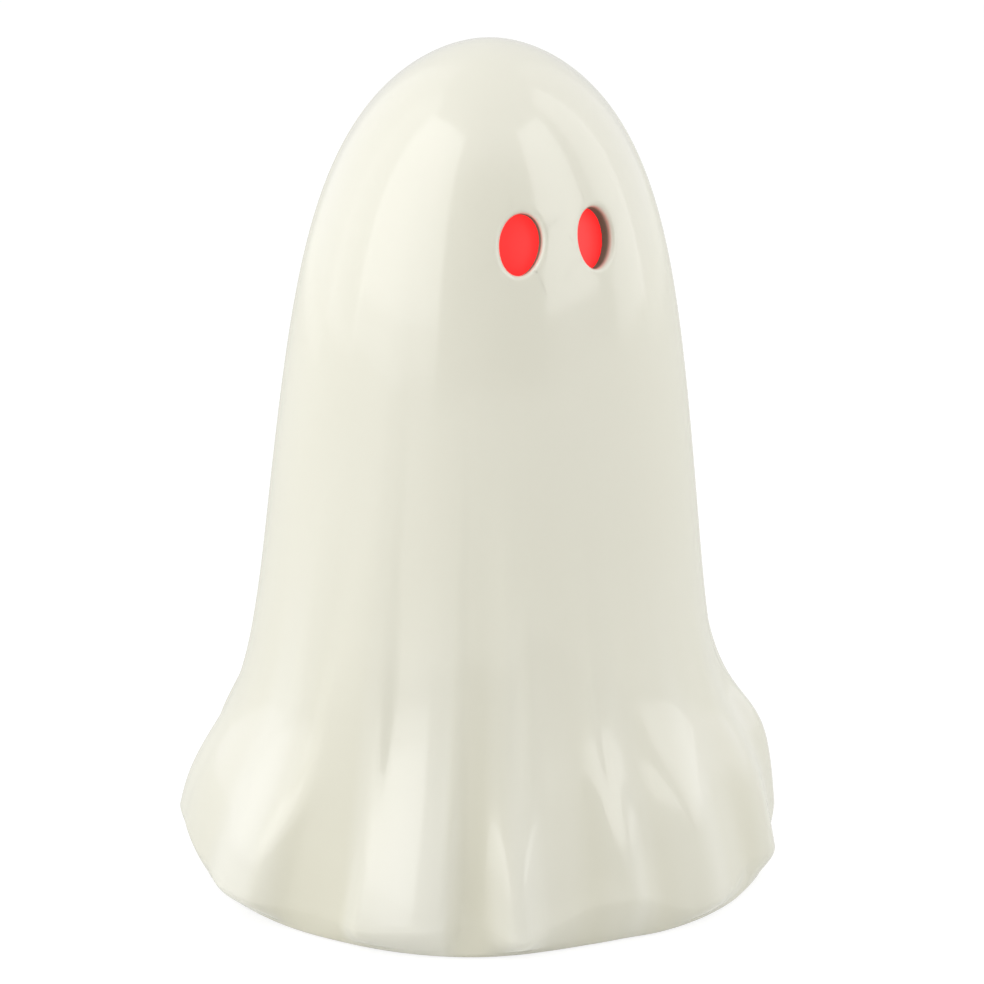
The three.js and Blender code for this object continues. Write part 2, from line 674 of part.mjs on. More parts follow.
// Cap: closes the electronics chamber, with a spigot inside the barrel and a hole for each lead.
function moduleCap() {
  const spigot = ring(barrelInner - 2 * plastic, barrelInner - seat, capUnder - 2, capUnder + plastic / 2);
  let cap = joined(disc(barrelOuter, capUnder, capTop, 40), spigot);
  for (const [x, y] of capBossPlaces()) {
    cap = cut(
      cap,
      disc(bossRadius + seat, capUnder - 3, capUnder, 16).translate(x, y, 0),
      disc(screwShaft + seat, capUnder - 1, capTop + 1, 12).translate(x, y, 0),
    );
  }
  for (const side of [-1, 1]) {
    cap = cut(cap, disc(leadRadius + seat, capUnder - 1, capTop + 1, 16).translate(side * leadX, leadY, 0));
  }
  return cap;
}

// A pan head screw with its head down at the given height, or up where the shaft points down.
function screw(shaftLength, pointsUp) {
  const rounding = screwHeadHeight * 0.4;
  const head = [[0, 0], [screwHead - rounding, 0], [screwHead, rounding], [screwHead, screwHeadHeight]];
  const tip = screwHeadHeight + shaftLength;
  const shaft = [[screwShaft, screwHeadHeight], [screwShaft, tip - screwShaft], [0, tip]];
  const recess = [
    block(-screwHead * 0.55, screwHead * 0.55, -0.3, 0.3, -1, screwHeadHeight * 0.6),
    block(-0.3, 0.3, -screwHead * 0.55, screwHead * 0.55, -1, screwHeadHeight * 0.6),
  ];
  const whole = geometryOf(cut(solid(turned([...head, ...shaft], 12)), ...recess));
  return pointsUp ? whole : whole.rotateX(Math.PI);
}

function capScrew(index) {
  const [x, y] = capBossPlaces()[index];
  return solid(screw(capScrewLength - 1.5, false).translate(x, y, capTop + seat + screwHeadHeight));
}

function circuitBoard() {
  const [below, above] = [boardUnder - 1, boardTop + 1];
  const holes = pegPlaces().map(([x, y]) => disc(pegRadius + seat, below, above, 12).translate(x, y, 0));
  return cut(solid(disc(boardRadius, boardUnder, boardTop, 40)), ...holes, ...throughSlots(below, above));
}

function timerChip() {
  const bottom = boardTop + seat;
  const body = block(-chipHalfX, chipHalfX, -chipHalfY, chipHalfY, bottom, bottom + chipThickness);
  const legs = [-1.5, -0.5, 0.5, 1.5].map((place) => {
    const x = place * chipLegPitch;
    const y = chipHalfY + chipLegReach;
    return block(x - chipLegHalf, x + chipLegHalf, -y, y, boardTop + 0.1, bottom + chipThickness / 3);
  });
  return joined(body, ...legs);
}

// A resistor lying on the board behind its lead, on two bent legs.
function seriesResistor(side) {
  const [x, y, z] = [side * resistorX, resistorY, boardTop + 1.6];
  const half = [[1.4, 0.9], [2.4, 1.1], [3, 0.8], [3, 0]]; // from its waist to an end cap
  const back = half.map(([along, radius]) => [radius, -along]).reverse();
  const front = half.map(([along, radius]) => [radius, along]);
  const profile = [...back, ...front];
  const body = turned(profile, 8).rotateY(90 * degree).translate(x, y, z);
  const legHalf = 0.25;
  const reach = 4.6;
  const wire = block(x - reach, x + reach, y - legHalf, y + legHalf, z - legHalf, z + legHalf);
  const legs = [-reach, reach - 2 * legHalf].map((start) =>
    block(x + start, x + start + 2 * legHalf, y - legHalf, y + legHalf, boardTop + 0.1, z));
  return joined(body, wire, ...legs);
}

function rowY(index) {
  return (index - (cellCount - 1) / 2) * cellPitch;
}

function cell(index) {
  const direction = index % 2 === 0 ? 1 : -1; // towards the nub
  const shoulder = 0.8;
  const can = cellLength - cellNub;
  const profile = [
    [0, 0], [cellRadius - shoulder, 0], [cellRadius, shoulder], [cellRadius, can - shoulder],
    [cellRadius - shoulder, can], [cellNubRadius, can], [cellNubRadius, cellLength], [0, cellLength],
  ];
  const flatEnd = bayHalfX - seat - contactThickness - springLength - seat;
  const geometry = turned(profile, 16).rotateY(90 * degree);
  if (direction < 0) geometry.rotateZ(Math.PI);
  return solid(geometry.translate(-direction * flatEnd, rowY(index), cellZ));
}

// A conical battery spring that stands on its plate at X = 0 and grows towards +X.
function springCoil() {
  const points = [];
  const perTurn = 8;
  const count = springTurns * perTurn;
  for (let i = 0; i <= count; i++) {
    const share = i / count;
    const radius = springWide + (springNarrow - springWide) * share;
    const turn = share * springTurns * 2 * Math.PI;
    const along = share * (springLength - 1.5 * springWire);
    points.push(new THREE.Vector3(along, radius * Math.cos(turn), radius * Math.sin(turn)));
  }
  let gap = Infinity;
  points.forEach((point, i) => {
    for (const other of points.slice(i + perTurn / 2)) {
      gap = Math.min(gap, point.distanceTo(other) - 2 * springWire);
    }
  });
  console.log("least gap between a spring's turns: " + gap.toFixed(2) + " mm");
  return tube(new THREE.CatmullRomCurve3(points), springWire, 5, count);
}

// One strip of plated steel for the cells in its slots, at an end of the bay, -1 or +1.
function contact(end, slots, tabbed) {
  const rows = slots.map(({ index }) => rowY(index));
  const inner = bayHalfX - seat - contactThickness;
  const faces = [end * inner, end * (bayHalfX - seat)].sort((a, b) => a - b);
  const low = Math.min(...rows) - contactHalf;
  const high = Math.max(...rows) + contactHalf;
  let strip = solid(block(...faces, low, high, cellZ - contactHalf, cellZ + contactHalf));
  for (const { index, sprung } of slots) {
    if (!sprung) continue;
    const coil = springCoil();
    if (end > 0) coil.rotateZ(Math.PI);
    strip = strip.add(solid(coil.translate(end * (inner - springWire / 2), rowY(index), cellZ)));
  }
  if (tabbed) strip = strip.add(solid(block(...faces, rows[0] - tabHalf, rows[0] + tabHalf, cellZ, tabTop)));
  return strip;
}

function switchFrame() {
  const [x, y] = [switchHalfX, switchHalfY];
  const can = block(-x, x, switchY - y, switchY + y, switchUnder, switchTop);
  const innerX = x - switchWall;
  const innerY = y - switchWall;
  const cavity = block(-innerX, innerX, switchY - innerY, switchY + innerY,
    switchUnder - 1, switchTop - switchWall);
  const pins = pinPlaces().map((at) =>
    block(at - pinHalf, at + pinHalf, switchY - pinHalf, switchY + pinHalf,
      switchTop - switchWall / 2, tabTop));
  return cut(joined(can, ...pins), cavity);
}

// The knob stands down through the slot into a pocket, where a fingertip reaches it and the table doesn't.
function switchKnob() {
  const baseHalfX = switchHalfX - switchWall - slack - knobTravel / 2;
  const baseHalfY = switchHalfY - switchWall - slack;
  const bottom = plateLift + 0.4;
  const stemTop = switchUnder + knobBase;
  const shoulders = block(knobOn - baseHalfX, knobOn + baseHalfX, switchY - baseHalfY, switchY + baseHalfY,
    switchUnder, stemTop);
  const stem = block(knobOn - knobHalfX, knobOn + knobHalfX, switchY - knobHalfY, switchY + knobHalfY,
    bottom, stemTop);
  const grooves = [-1, 0, 1].map((place) => {
    const x = knobOn + place * 1.1;
    const y = knobHalfY + 1;
    return block(x - 0.2, x + 0.2, switchY - y, switchY + y, bottom - 1, bottom + 0.4);
  });
  return cut(joined(shoulders, stem), ...grooves);
}

// Door: its hinge barrel and pins are at one end, and a tongue for the locking screw at the other.
function batteryDoor() {
  const top = plateLift + doorThickness;
  const axle = (radius, halfY, sides) =>
    disc(radius, -halfY, halfY, sides).rotateX(90 * degree).translate(hingeX, 0, hingeZ);
  const barrel = axle(hingeBarrel, doorHalfY, 20);
  const pins = axle(hingePin, pinEndY, 12);
  const panel = block(doorEndX, hingeX, -doorHalfY, doorHalfY, plateLift, top);
  const tongueEnd = doorEndX - tongueLength;
  const tongue = block(tongueEnd, doorEndX + 0.6, -tongueHalf, tongueHalf,
    plateLift, plateLift + tongueThickness);
  const door = joined(panel, barrel, pins, tongue);
  const clearOfBay = block(doorEndX + 0.3, doorEndX + 2, -tongueHalf - 1, tongueHalf + 1, top, top + 2);
  const headTop = plateLift + screwHeadHeight + seat;
  const headRecess = disc(screwHead + slack, 0, headTop, 20).translate(screwX, 0, 0);
  const shaftHole = disc(screwShaft + slack, 0, plateLift + tongueThickness + 1, 12).translate(screwX, 0, 0);
  const grips = Array.from({ length: gripCount }, (_, i) => {
    const x = doorEndX + 6 + i * gripPitch;
    return block(x, x + gripPitch / 2, -gripWidth / 2, gripWidth / 2, 0, plateLift + gripDepth);
  });
  return cut(door, clearOfBay, headRecess, shaftHole, ...grips);
}

function doorScrew() {
  const reach = tongueThickness - screwHeadHeight + slack + doorScrewLength;
  return solid(screw(reach, true).translate(screwX, 0, plateLift));
}

// Finishes, by colour, roughness and metalness
const finishes = {
  glaze: [0xf2f1e4, 0.12, 0],
  redLens: [0xff3f3f, 0.35, 0],
  whitePlastic: [0xe9e7df, 0.5, 0],
  blackPlastic: [0x1b1b1d, 0.5, 0],
  rubber: [0xd8d8d4, 0.8, 0],
  felt: [0xcfcabd, 0.95, 0],
  board: [0x1f6a3a, 0.5, 0],
  component: [0x2a2a2c, 0.5, 0],
  resistor: [0xd9b98a, 0.6, 0],
  steel: [0xc8c8c6, 0.3, 1],
  cellWrap: [0x3a3d42, 0.35, 0],
  leadSheath: [0xb01f1f, 0.5, 0],
};

const ghost = new THREE.Group();

function add(name, manifold, finish) {
  const [color, roughness, metalness] = finishes[finish];
  const material = new THREE.MeshStandardMaterial({ color, roughness, metalness });
  const geometry = geometryOf(manifold);
  geometry.computeVertexNormals();
  const mesh = new THREE.Mesh(geometry, material);
  mesh.name = name;
  ghost.add(mesh);
}

add("ghost_shell", ghostShell(), "glaze");
for (const [name, side] of [["left", 1], ["right", -1]]) {
  add("eye_lens_" + name, eyeLens(side), "redLens");
  add("eye_cup_" + name, eyeCup(side), "blackPlastic");
  add("eye_led_" + name, eyeLed(side), "redLens");
  add("eye_lead_" + name, eyeLead(side), "leadSheath");
  add("series_resistor_" + name, seriesResistor(side), "resistor");
}
for (let i = 0; i < padCount; i++) add("foot_pad_" + (i + 1), solid(footPad(i, 0)), "felt");
add("base_grommet", baseGrommet(), "rubber");
add("module_housing", moduleHousing(), "whitePlastic");
add("module_cap", moduleCap(), "whitePlastic");
for (let i = 0; i < capScrewCount; i++) add("cap_screw_" + (i + 1), capScrew(i), "steel");
add("circuit_board", circuitBoard(), "board");
add("timer_chip", timerChip(), "component");
for (let i = 0; i < cellCount; i++) add("aaa_cell_" + (i + 1), cell(i), "cellWrap");
add("contact_negative", contact(-1, [{ index: 0, sprung: true }], true), "steel");
add("contact_bridge_right", contact(1, [{ index: 0 }, { index: 1, sprung: true }]), "steel");
add("contact_bridge_left", contact(-1, [{ index: 1 }, { index: 2, sprung: true }]), "steel");
add("contact_positive", contact(1, [{ index: 2 }], true), "steel");
add("switch_frame", switchFrame(), "steel");
add("switch_knob", switchKnob(), "blackPlastic");
add("battery_door", batteryDoor(), "whitePlastic");
add("door_screw", doorScrew(), "steel");

export default ghost;
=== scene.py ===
# %% [markdown]
# # A light-up ghost
#
# The object is a slip cast ceramic figure: a sheet that falls from a round head into a skirt of folds,
# covered with a glossy ivory glaze. Behind its two eye holes sit red lenses, and a battery lamp is pushed
# into its base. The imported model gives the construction. This script gives every piece its surface, and
# models again those whose looks need more than flat facets: the draped body above all.
#
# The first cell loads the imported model. Its pieces come in as objects in metres, and they stay where they
# are.

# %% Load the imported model
import bisect
import json
import math
from collections import namedtuple

import bmesh
import bpy
from mathutils import Matrix, Vector


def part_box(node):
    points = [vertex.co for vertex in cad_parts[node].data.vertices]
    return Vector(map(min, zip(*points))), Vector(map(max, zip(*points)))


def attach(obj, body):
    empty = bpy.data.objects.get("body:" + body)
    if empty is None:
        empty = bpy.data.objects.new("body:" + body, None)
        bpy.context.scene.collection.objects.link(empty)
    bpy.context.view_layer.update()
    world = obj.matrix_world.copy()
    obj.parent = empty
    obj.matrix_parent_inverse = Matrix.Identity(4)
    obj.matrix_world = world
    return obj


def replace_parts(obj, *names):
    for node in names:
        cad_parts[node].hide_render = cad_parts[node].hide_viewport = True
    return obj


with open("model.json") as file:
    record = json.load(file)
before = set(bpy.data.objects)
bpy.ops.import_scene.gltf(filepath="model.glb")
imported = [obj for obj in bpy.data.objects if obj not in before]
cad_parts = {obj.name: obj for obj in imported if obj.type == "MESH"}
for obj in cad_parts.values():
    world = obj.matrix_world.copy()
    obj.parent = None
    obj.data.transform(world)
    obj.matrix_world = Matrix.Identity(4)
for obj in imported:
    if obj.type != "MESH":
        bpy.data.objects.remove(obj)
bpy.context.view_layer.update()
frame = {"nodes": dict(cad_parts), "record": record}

mm = 0.001
nodes = frame["nodes"]

# %% [markdown]
# ## Where the camera stands
#
# The photograph looks slightly down on the figure, from its right. A long lens a metre away gives the same
# perspective: the foot's near and far edges tell the pitch, and the eyes' places tell the turn. The figure
# stands a little left of the picture's middle, and a small lens shift repeats that.

# %% Camera
photo_side = 984
camera_turn = math.radians(-24.87)
camera_pitch = math.radians(15.36)
camera_distance = 1.0
look_height = 91.5 * mm
focal_pixels = 4193
foot_column = 479
sensor = 36


def direction(turn, pitch):
    """The way from the object to something that stands at this turn and pitch."""
    flat = math.cos(pitch)
    return Vector((math.sin(turn) * flat, -math.cos(turn) * flat, math.sin(pitch)))


camera_data = bpy.data.cameras.new("camera")
camera_data.sensor_width = sensor
camera_data.lens = focal_pixels / photo_side * sensor
camera_data.shift_x = (photo_side / 2 - foot_column) / photo_side
camera = bpy.data.objects.new("camera", camera_data)
to_camera = direction(camera_turn, camera_pitch)
camera.location = Vector((0, 0, look_height)) + camera_distance * to_camera
camera.rotation_euler = (-to_camera).to_track_quat("-Z", "Y").to_euler()
bpy.context.scene.collection.objects.link(camera)
bpy.context.scene.camera = camera
print("lens", round(camera_data.lens, 1), "mm")

# %% [markdown]
# ## A short way to write shaders
#
# A material is a graph of nodes, and building one call by call hides its idea. A small class around a
# socket lets Python's own operators add the Math nodes, so that a pattern reads as a formula. Every other
# kind of node comes from one method, which takes the node's settings first and then the values or links of
# its sockets.

# %% Wires between nodes
class Wire:
    """A socket of a node tree. Arithmetic on it adds Math nodes."""

    def __init__(self, tree, socket=None):
        self.tree = tree
        self.socket = socket

    def node(self, kind, settings=(), sockets=(), out=0):
        made = self.tree.nodes.new("ShaderNode" + kind)
        for name, value in dict(settings).items():
            setattr(made, name, value)
        for name, value in dict(sockets).items():
            if isinstance(value, Wire):
                self.tree.links.new(value.socket, made.inputs[name])
            else:
                made.inputs[name].default_value = value
        return Wire(self.tree, made.outputs[out])

    def math(self, operation, *values):
        return self.node("Math", {"operation": operation}, enumerate(values))

    def __add__(self, other):
        return self.math("ADD", self, other)

    def __sub__(self, other):
        return self.math("SUBTRACT", self, other)

    def __mul__(self, other):
        return self.math("MULTIPLY", self, other)

    def __pow__(self, other):
        return self.math("POWER", self, other)

    def __rsub__(self, other):
        return self.math("SUBTRACT", other, self)

    __radd__ = __add__
    __rmul__ = __mul__

    def blend(self, first, second):
        """A colour between two, by this value: 0 gives the first."""
        return self.node("Mix", {"data_type": "RGBA"}, {0: self, 6: first, 7: second}, out=2)

    def band(self, low, high):
        """0 below low, 1 above high, and a smooth climb between them."""
        limits = {"Value": self, "From Min": low, "From Max": high}
        return self.node("MapRange", {"interpolation_type": "SMOOTHSTEP"}, limits)


def new_material(name):
    """An empty material, and a wire to start its graph from."""
    made = bpy.data.materials.new(name)
    made.use_nodes = True
    made.node_tree.nodes.clear()
    return made, Wire(made.node_tree)


def place_on(wire):
    """Where a point of the surface is on the object, in metres."""
    return wire.node("TexCoord", out="Object")


def noise(wire, size, detail=2.0):
    """Cloudy noise from 0 to 1, with blotches of about this size."""
    return wire.node("TexNoise", (), {"Vector": place_on(wire), "Scale": 1 / size, "Detail": detail})


def mark(wire, name):
    """A value from 0 to 1 that the mesh itself carries."""
    return wire.node("Attribute", {"attribute_name": name}, out="Fac")


def bumped(wire, height, depth):
    """A normal that makes a height pattern from 0 to 1 look this deep."""
    return wire.node("Bump", (), {"Height": height, "Distance": depth, "Strength": 1.0})


def finish_surface(wire, **sockets):
    """Ends a graph in a Principled shader. Underscores stand for the blanks in the sockets' names."""
    named = {name.replace("_", " "): value for name, value in sockets.items()}
    shader = wire.node("BsdfPrincipled", (), named)
    end = wire.tree.nodes.new("ShaderNodeOutputMaterial")
    wire.tree.links.new(shader.socket, end.inputs["Surface"])


print("shader helpers ready")

# %% [markdown]
# ## The sheet's shape
#
# The figure was modelled as a sheet over a domed form. Its surface can be written down: a radius for every
# height, a flare at the bottom, and folds that stand out further the lower they are. The crown leans a
# little forward. The folds' places are the model's own: read from the photograph in front, and guessed
# behind. Repeating the formulas here, at full fineness, gives a surface without facets, which a mirror-like
# glaze needs.

# %% Body profile
height = 201.3 * mm
crown_radius = 39.9 * mm
body_taper = 20.3 * mm
crown_power = 8.1
crown_rounding = 0.539
head_lean = 5.8 * mm
lean_climb = 1.3
wall = 4 * mm
floor_thickness = 4 * mm
foot_outer = 68.2 * mm
foot_inner = 59 * mm
foot_depth = 4.2 * mm
foot_edge = 1 * mm
foot_low = 0.3 * mm
hem_round = 2 * mm
fan = math.radians(13)
fan_middle = math.radians(-22)
fan_reach = 40 * mm
inner_fold_share = 0.75
seat = 0.3 * mm


def lean(z):
    return head_lean * (z / height) ** lean_climb


def body_radius(z):
    """The radius without the skirt."""
    up = min(max(z / height, 0), 1)
    return (crown_radius + body_taper * (1 - up)) * (1 - up**crown_power) ** crown_rounding


print("radius at half height", round(body_radius(height / 2) / mm, 1), "mm")

# %% Folds
Fold = namedtuple("Fold", "at out top hem foot flare knee soft", defaults=[10.6, 38, 6.6])

# Crests, valleys and bends between them, from the face towards +X. Angles are in degrees, lengths in mm.
# A fold starts at the top and stands out. Its skirt flares at the knee, and a valley does so more gradually.
drape = [
    # at, out, top, hem, foot, flare, knee, soft
    Fold(-25, -0.4, 120, 5.6, 69.9, 11.6, 36, 15),
    Fold(-17, 2.5, 124, 3.4, 69, 12.8, 30, 11),
    Fold(-11, 1.7, 112, 5.6, 68, 11.2, 36, 16),
    Fold(-2, 0.2, 96, 9, 67.1, 11.8, 38, 16),
    Fold(4.5, 1.5, 96, 9.9, 67.1, 11.8, 37, 12),
    Fold(7, 2, 98, 9.2, 67.4, 11.6, 35, 10),
    Fold(13.5, 0.3, 88, 6, 68.6, 11.4, 38, 13),
    Fold(20, 1.1, 84, 3.6, 69, 11, 38, 10),
    Fold(27, 2.2, 82, 4, 69.2, 11, 37, 8),
    Fold(35, 0.7, 76, 5, 69.2, 11.2, 38, 9),
    Fold(42, -0.1, 74, 6.4, 69, 11.2, 38, 10),
    Fold(55, 2.6, 80, 4.6, 69.4, knee=37),
    Fold(64, 0.7, 80, 8, 68.8, 11, 39, 6),
    Fold(75, 2.1, 80, 11, 68.2, 11.6, 41.5, 4.2),
    Fold(91, 0, 90, 7.6, 68, 11, 40, 10),
    Fold(105, 2.8, 100, 4.4, 68.8),
    Fold(122, -0.8, 104, 8.4, 68.2, 11.6, 38, 12),
    Fold(142, 2.7, 84, 5, 68.8),
    Fold(156, -0.5, 98, 7.8, 68.2, 11.4, 38, 12),
    Fold(170, 2.9, 110, 4.2, 69),
    Fold(184, -0.9, 110, 8.6, 68.2, 11.6, 38, 13),
    Fold(197, 2.7, 88, 4.6, 68.8),
    Fold(208, -0.1, 90, 7.6, 68.2, 11, 38, 10),
    Fold(219, 2.6, 90, 4.2, 68.6),
    Fold(229, -0.2, 80, 8, 67.8, 11, 35, 8),
    Fold(241, 2.8, 88, 10.6, 67.2, 11.8, 33.5, 6.8),
    Fold(250, 2.3, 88, 11, 67, 11.2, 34, 7),
    Fold(267, 0.9, 96, 7.4, 67, 11.6, 35, 8),
    Fold(280, 2.8, 120, 5.6, 67, 13, 29, 9),
    Fold(286, 2.5, 124, 5.2, 67.2, 13, 29, 9.5),
    Fold(294, -0.2, 128, 4.6, 67.6, 12, 36, 20),
    Fold(301, -0.9, 134, 4, 67.9, 12.4, 37, 25),
    Fold(306, -0.6, 134, 3.8, 68.1, 12.4, 36, 22),
    Fold(312, 1.6, 136, 4, 68.7, 13.4, 28.5, 12),
    Fold(325, 2.8, 134, 5.8, 69.8, 13.4, 27.5, 12),
    Fold(327.5, 2.7, 134, 6, 69.9, 13, 28.5, 12.5),
    Fold(331.5, -0.1, 122, 6, 70, 11.8, 35, 16),
]
fold_starts = [fold.at - drape[0].at for fold in drape]


def bend(measure):
    """For each fold, how a measure changes there per degree: not at all at a crest or a valley."""
    rises = []
    for fold, after in zip(drape, drape[1:] + drape[:1]):
        rises.append((getattr(after, measure) - getattr(fold, measure)) / ((after.at - fold.at) % 360))
    return [2 * a * b / (a + b) if a * b > 0 else 0 for a, b in zip(rises[-1:] + rises[:-1], rises)]


bends = {measure: bend(measure) for measure in Fold._fields[1:]}


def drape_at(angle, *measures):
    """Measures of the folds at an angle, on smooth curves through the table's points."""
    past = (math.degrees(angle) - drape[0].at) % 360
    near = bisect.bisect_right(fold_starts, past) - 1
    after = (near + 1) % len(drape)
    gap = (drape[after].at - drape[near].at) % 360
    share = (past - fold_starts[near]) / gap
    climb = share * share * (3 - 2 * share)
    leave, arrive = share * (1 - share) ** 2 * gap, share * share * (share - 1) * gap
    for measure in measures:
        start, end = getattr(drape[near], measure), getattr(drape[after], measure)
        change = bends[measure]
        yield (start + (end - start) * climb + change[near] * leave + change[after] * arrive) * mm


def skirt_out(angle, z, fold_share=1.0):
    """How far the sheet stands outside the plain body: the fold and its flare."""
    fanned = angle + fan * math.sin(angle - fan_middle) * (1 - math.exp(-z / fan_reach))
    out, top, flare, knee, soft = drape_at(fanned, "out", "top", "flare", "knee", "soft")
    up = min(z / top, 1)
    return fold_share * out * (1 - up * up * (3 - 2 * up)) + flare / (1 + math.exp((z - knee) / soft))


def hem_height(angle):
    return next(drape_at(angle, "hem"))


def foot_radius(angle):
    return next(drape_at(angle, "foot"))


def skin(angle, z, depth=0.0, fold_share=1.0):
    """The radius and height of a point on the sheet, or that deep under it."""
    radius = body_radius(z) + skirt_out(angle, z, fold_share)
    if depth == 0:
        return radius, z
    step = 0.5 * mm
    wider = body_radius(z - step) + skirt_out(angle, z - step, fold_share)
    slope = (radius - wider) / step
    along = math.hypot(slope, 1)
    return max(radius - depth / along, 0), z + depth * slope / along


def at(angle, radius, z):
    """A point from its angle, radius and height, with the lean."""
    return Vector((radius * math.sin(angle), -radius * math.cos(angle) - lean(z), z))


hem_top = max(fold.hem for fold in drape) * mm
neighbours = zip(drape[-1:] + drape[:-1], drape, drape[1:] + drape[:1])
crests = sum(fold.out > max(before.out, after.out) for before, fold, after in neighbours)
print(crests, "crests, the highest hem at", round(hem_top / mm, 1), "mm")

# %% [markdown]
# ## A sheet, rolled and pressed
#
# A flat grid of faces suits this shape, because the real thing is a sheet too. Its columns become angles
# round the figure and its rows heights, and each vertex moves to the place that its row gives for its
# angle. The topology stays a clean grid, the seam lies at the back, and merging closes it together with the
# two poles.

# %% Press a sheet
def pressed(rows, columns, marks=()):
    """A sheet of faces with a row for each function in rows, each of which gives a point for an angle."""
    bm = bmesh.new()
    for name in marks:
        bm.verts.layers.float.new(name)
    bmesh.ops.create_grid(bm, x_segments=columns, y_segments=len(rows) - 1, size=0.5)
    for vertex in bm.verts:
        angle = math.pi + 2 * math.pi * (vertex.co.x + 0.5)
        vertex.co = rows[round((vertex.co.y + 0.5) * (len(rows) - 1))](angle)
    bmesh.ops.remove_doubles(bm, verts=bm.verts, dist=1e-6)
    return bm


print("sheet helper ready")

# %% [markdown]
# The body is one closed surface, from the crown down to the hem, under the foot, through the base hole and
# up inside to the crown again. Rows lie close where the surface turns quickly. Near the hem they follow its
# wavy edge, and they level out further up, so no row is cut off by it.

# %% Rows of the body
soft_ring_lip = 2.8 * mm
base_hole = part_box("base_grommet")[1].x - soft_ring_lip
pad_radius = 3.4 * mm
pad_height = 1 * mm
pad_circle = 63.1 * mm
pocket_radius = pad_radius + seat
foot_margin = 0.3 * mm
floor_under = foot_low + foot_depth
floor_top = floor_under + floor_thickness
level_row = 24 * mm
skirt_top = 70 * mm
crown_bottom = 142 * mm


def spread(start, end, count):
    """Even steps from start towards end, without the end."""
    return [start + (end - start) * i / count for i in range(count)]


def skin_row(z, depth=0.0, fold_share=1.0):
    return lambda angle: at(angle, *skin(angle, z, depth, fold_share))


def hem_row(share):
    """A row between the hem, at 0, and the first level row, at 1."""
    def place(angle):
        low = hem_height(angle) + hem_round
        z = low + (level_row - low) * share
        return at(angle, *skin(angle, z))
    return place


def tuck_row(share):
    """A row of the hem's soft turn under the skirt, from the foot's edge, at 0, to the outside, at 1."""
    def place(angle):
        hem = hem_height(angle)
        low = Vector((foot_radius(angle), foot_low + foot_edge))
        high = Vector(skin(angle, hem + hem_round))
        corner = Vector((high.x, min(hem, high.y)))
        pulls = [low, low.lerp(corner, 0.6), high.lerp(corner, 0.85), high]
        left = 1 - share
        parts = [left**3, 3 * left**2 * share, 3 * left * share**2, share**3]
        spot = sum((part * pull for part, pull in zip(parts, pulls)), Vector((0, 0)))
        return at(angle, *spot)
    return place


def foot_row(radius, z):
    return lambda angle: at(angle, radius, z)


def underside_row(share):
    """A row on the foot's underside, which leaves a narrow ring free on both sides of the pads' pockets."""
    def place(angle):
        start, end = foot_inner + foot_margin, foot_radius(angle) - foot_edge - foot_margin
        return at(angle, start + (end - start) * share, foot_low)
    return place


def foot_edge_row(inward, up):
    """A row on the foot's rounded edge."""
    return lambda angle: at(angle, foot_radius(angle) - inward, foot_low + up)


def crown_heights(bottom, top, count):
    return [top - (top - bottom) * (1 - i / count) ** 2 for i in range(count)]


outer_heights = [
    *spread(level_row, skirt_top, 34), *spread(skirt_top, crown_bottom, 40),
    *crown_heights(crown_bottom, height, 56),
]
inner_heights = [*spread(hem_top + wall, crown_bottom, 16), *crown_heights(crown_bottom, height, 22)]
quarter = math.pi / 2
ramp_top = foot_inner - foot_depth / 2
rows = [
    foot_row(0, height - wall),
    *[skin_row(z, wall, inner_fold_share) for z in reversed(inner_heights)],
    *[foot_row(radius, floor_top) for radius in (foot_outer - wall, base_hole + 2 * mm, base_hole)],
    *[foot_row(radius, floor_under) for radius in (base_hole, base_hole + 2 * mm, ramp_top)],
    foot_row(foot_inner, foot_low),
    *[underside_row(share) for share in (*spread(0, 1, 10), 1)],
    *[foot_edge_row(foot_edge * (1 - math.sin(turn)), foot_edge * (1 - math.cos(turn)))
      for turn in spread(0, quarter, 4)],
    *[tuck_row(share) for share in spread(0, 1, 14)],
    *[hem_row(share) for share in spread(0, 1, 12)],
    *[skin_row(z) for z in outer_heights],
    foot_row(0, height),
]
print(len(rows), "rows")

# %% [markdown]
# Pressing the rows gives the whole body at once. The marks are named values on its vertices, for later
# cells.

# %% Press the body
ghost = pressed(rows, columns=400, marks=("turn", "reach", "throat", "pooling_and_shade", "bare"))
print(len(ghost.verts), "vertices in the body")

# %% [markdown]
# ## Holes with a clean rim
#
# A Boolean would cut the eye holes, but its ragged triangles would show in the glaze's reflections. Here a
# window of faces is taken out instead, and rings of new faces are laid from its edge inwards: first across
# the surface to the egg-shaped outline, then over the rounded rim and down the wall. Every vertex of a ring
# keeps its turn round the hole, so the rings stay even. The same way sinks the four pockets in the foot,
# which take the pads.

# %% Rings into a hole
def new_verts(made):
    return [item for item in made if isinstance(item, bmesh.types.BMVert)]


def open_edges(made):
    return [item for item in made if isinstance(item, bmesh.types.BMEdge) and len(item.link_faces) == 1]


def border_of(faces):
    """The edges round a patch of faces."""
    patch = set(faces)
    return [edge for face in faces for edge in face.edges if not patch.issuperset(edge.link_faces)]


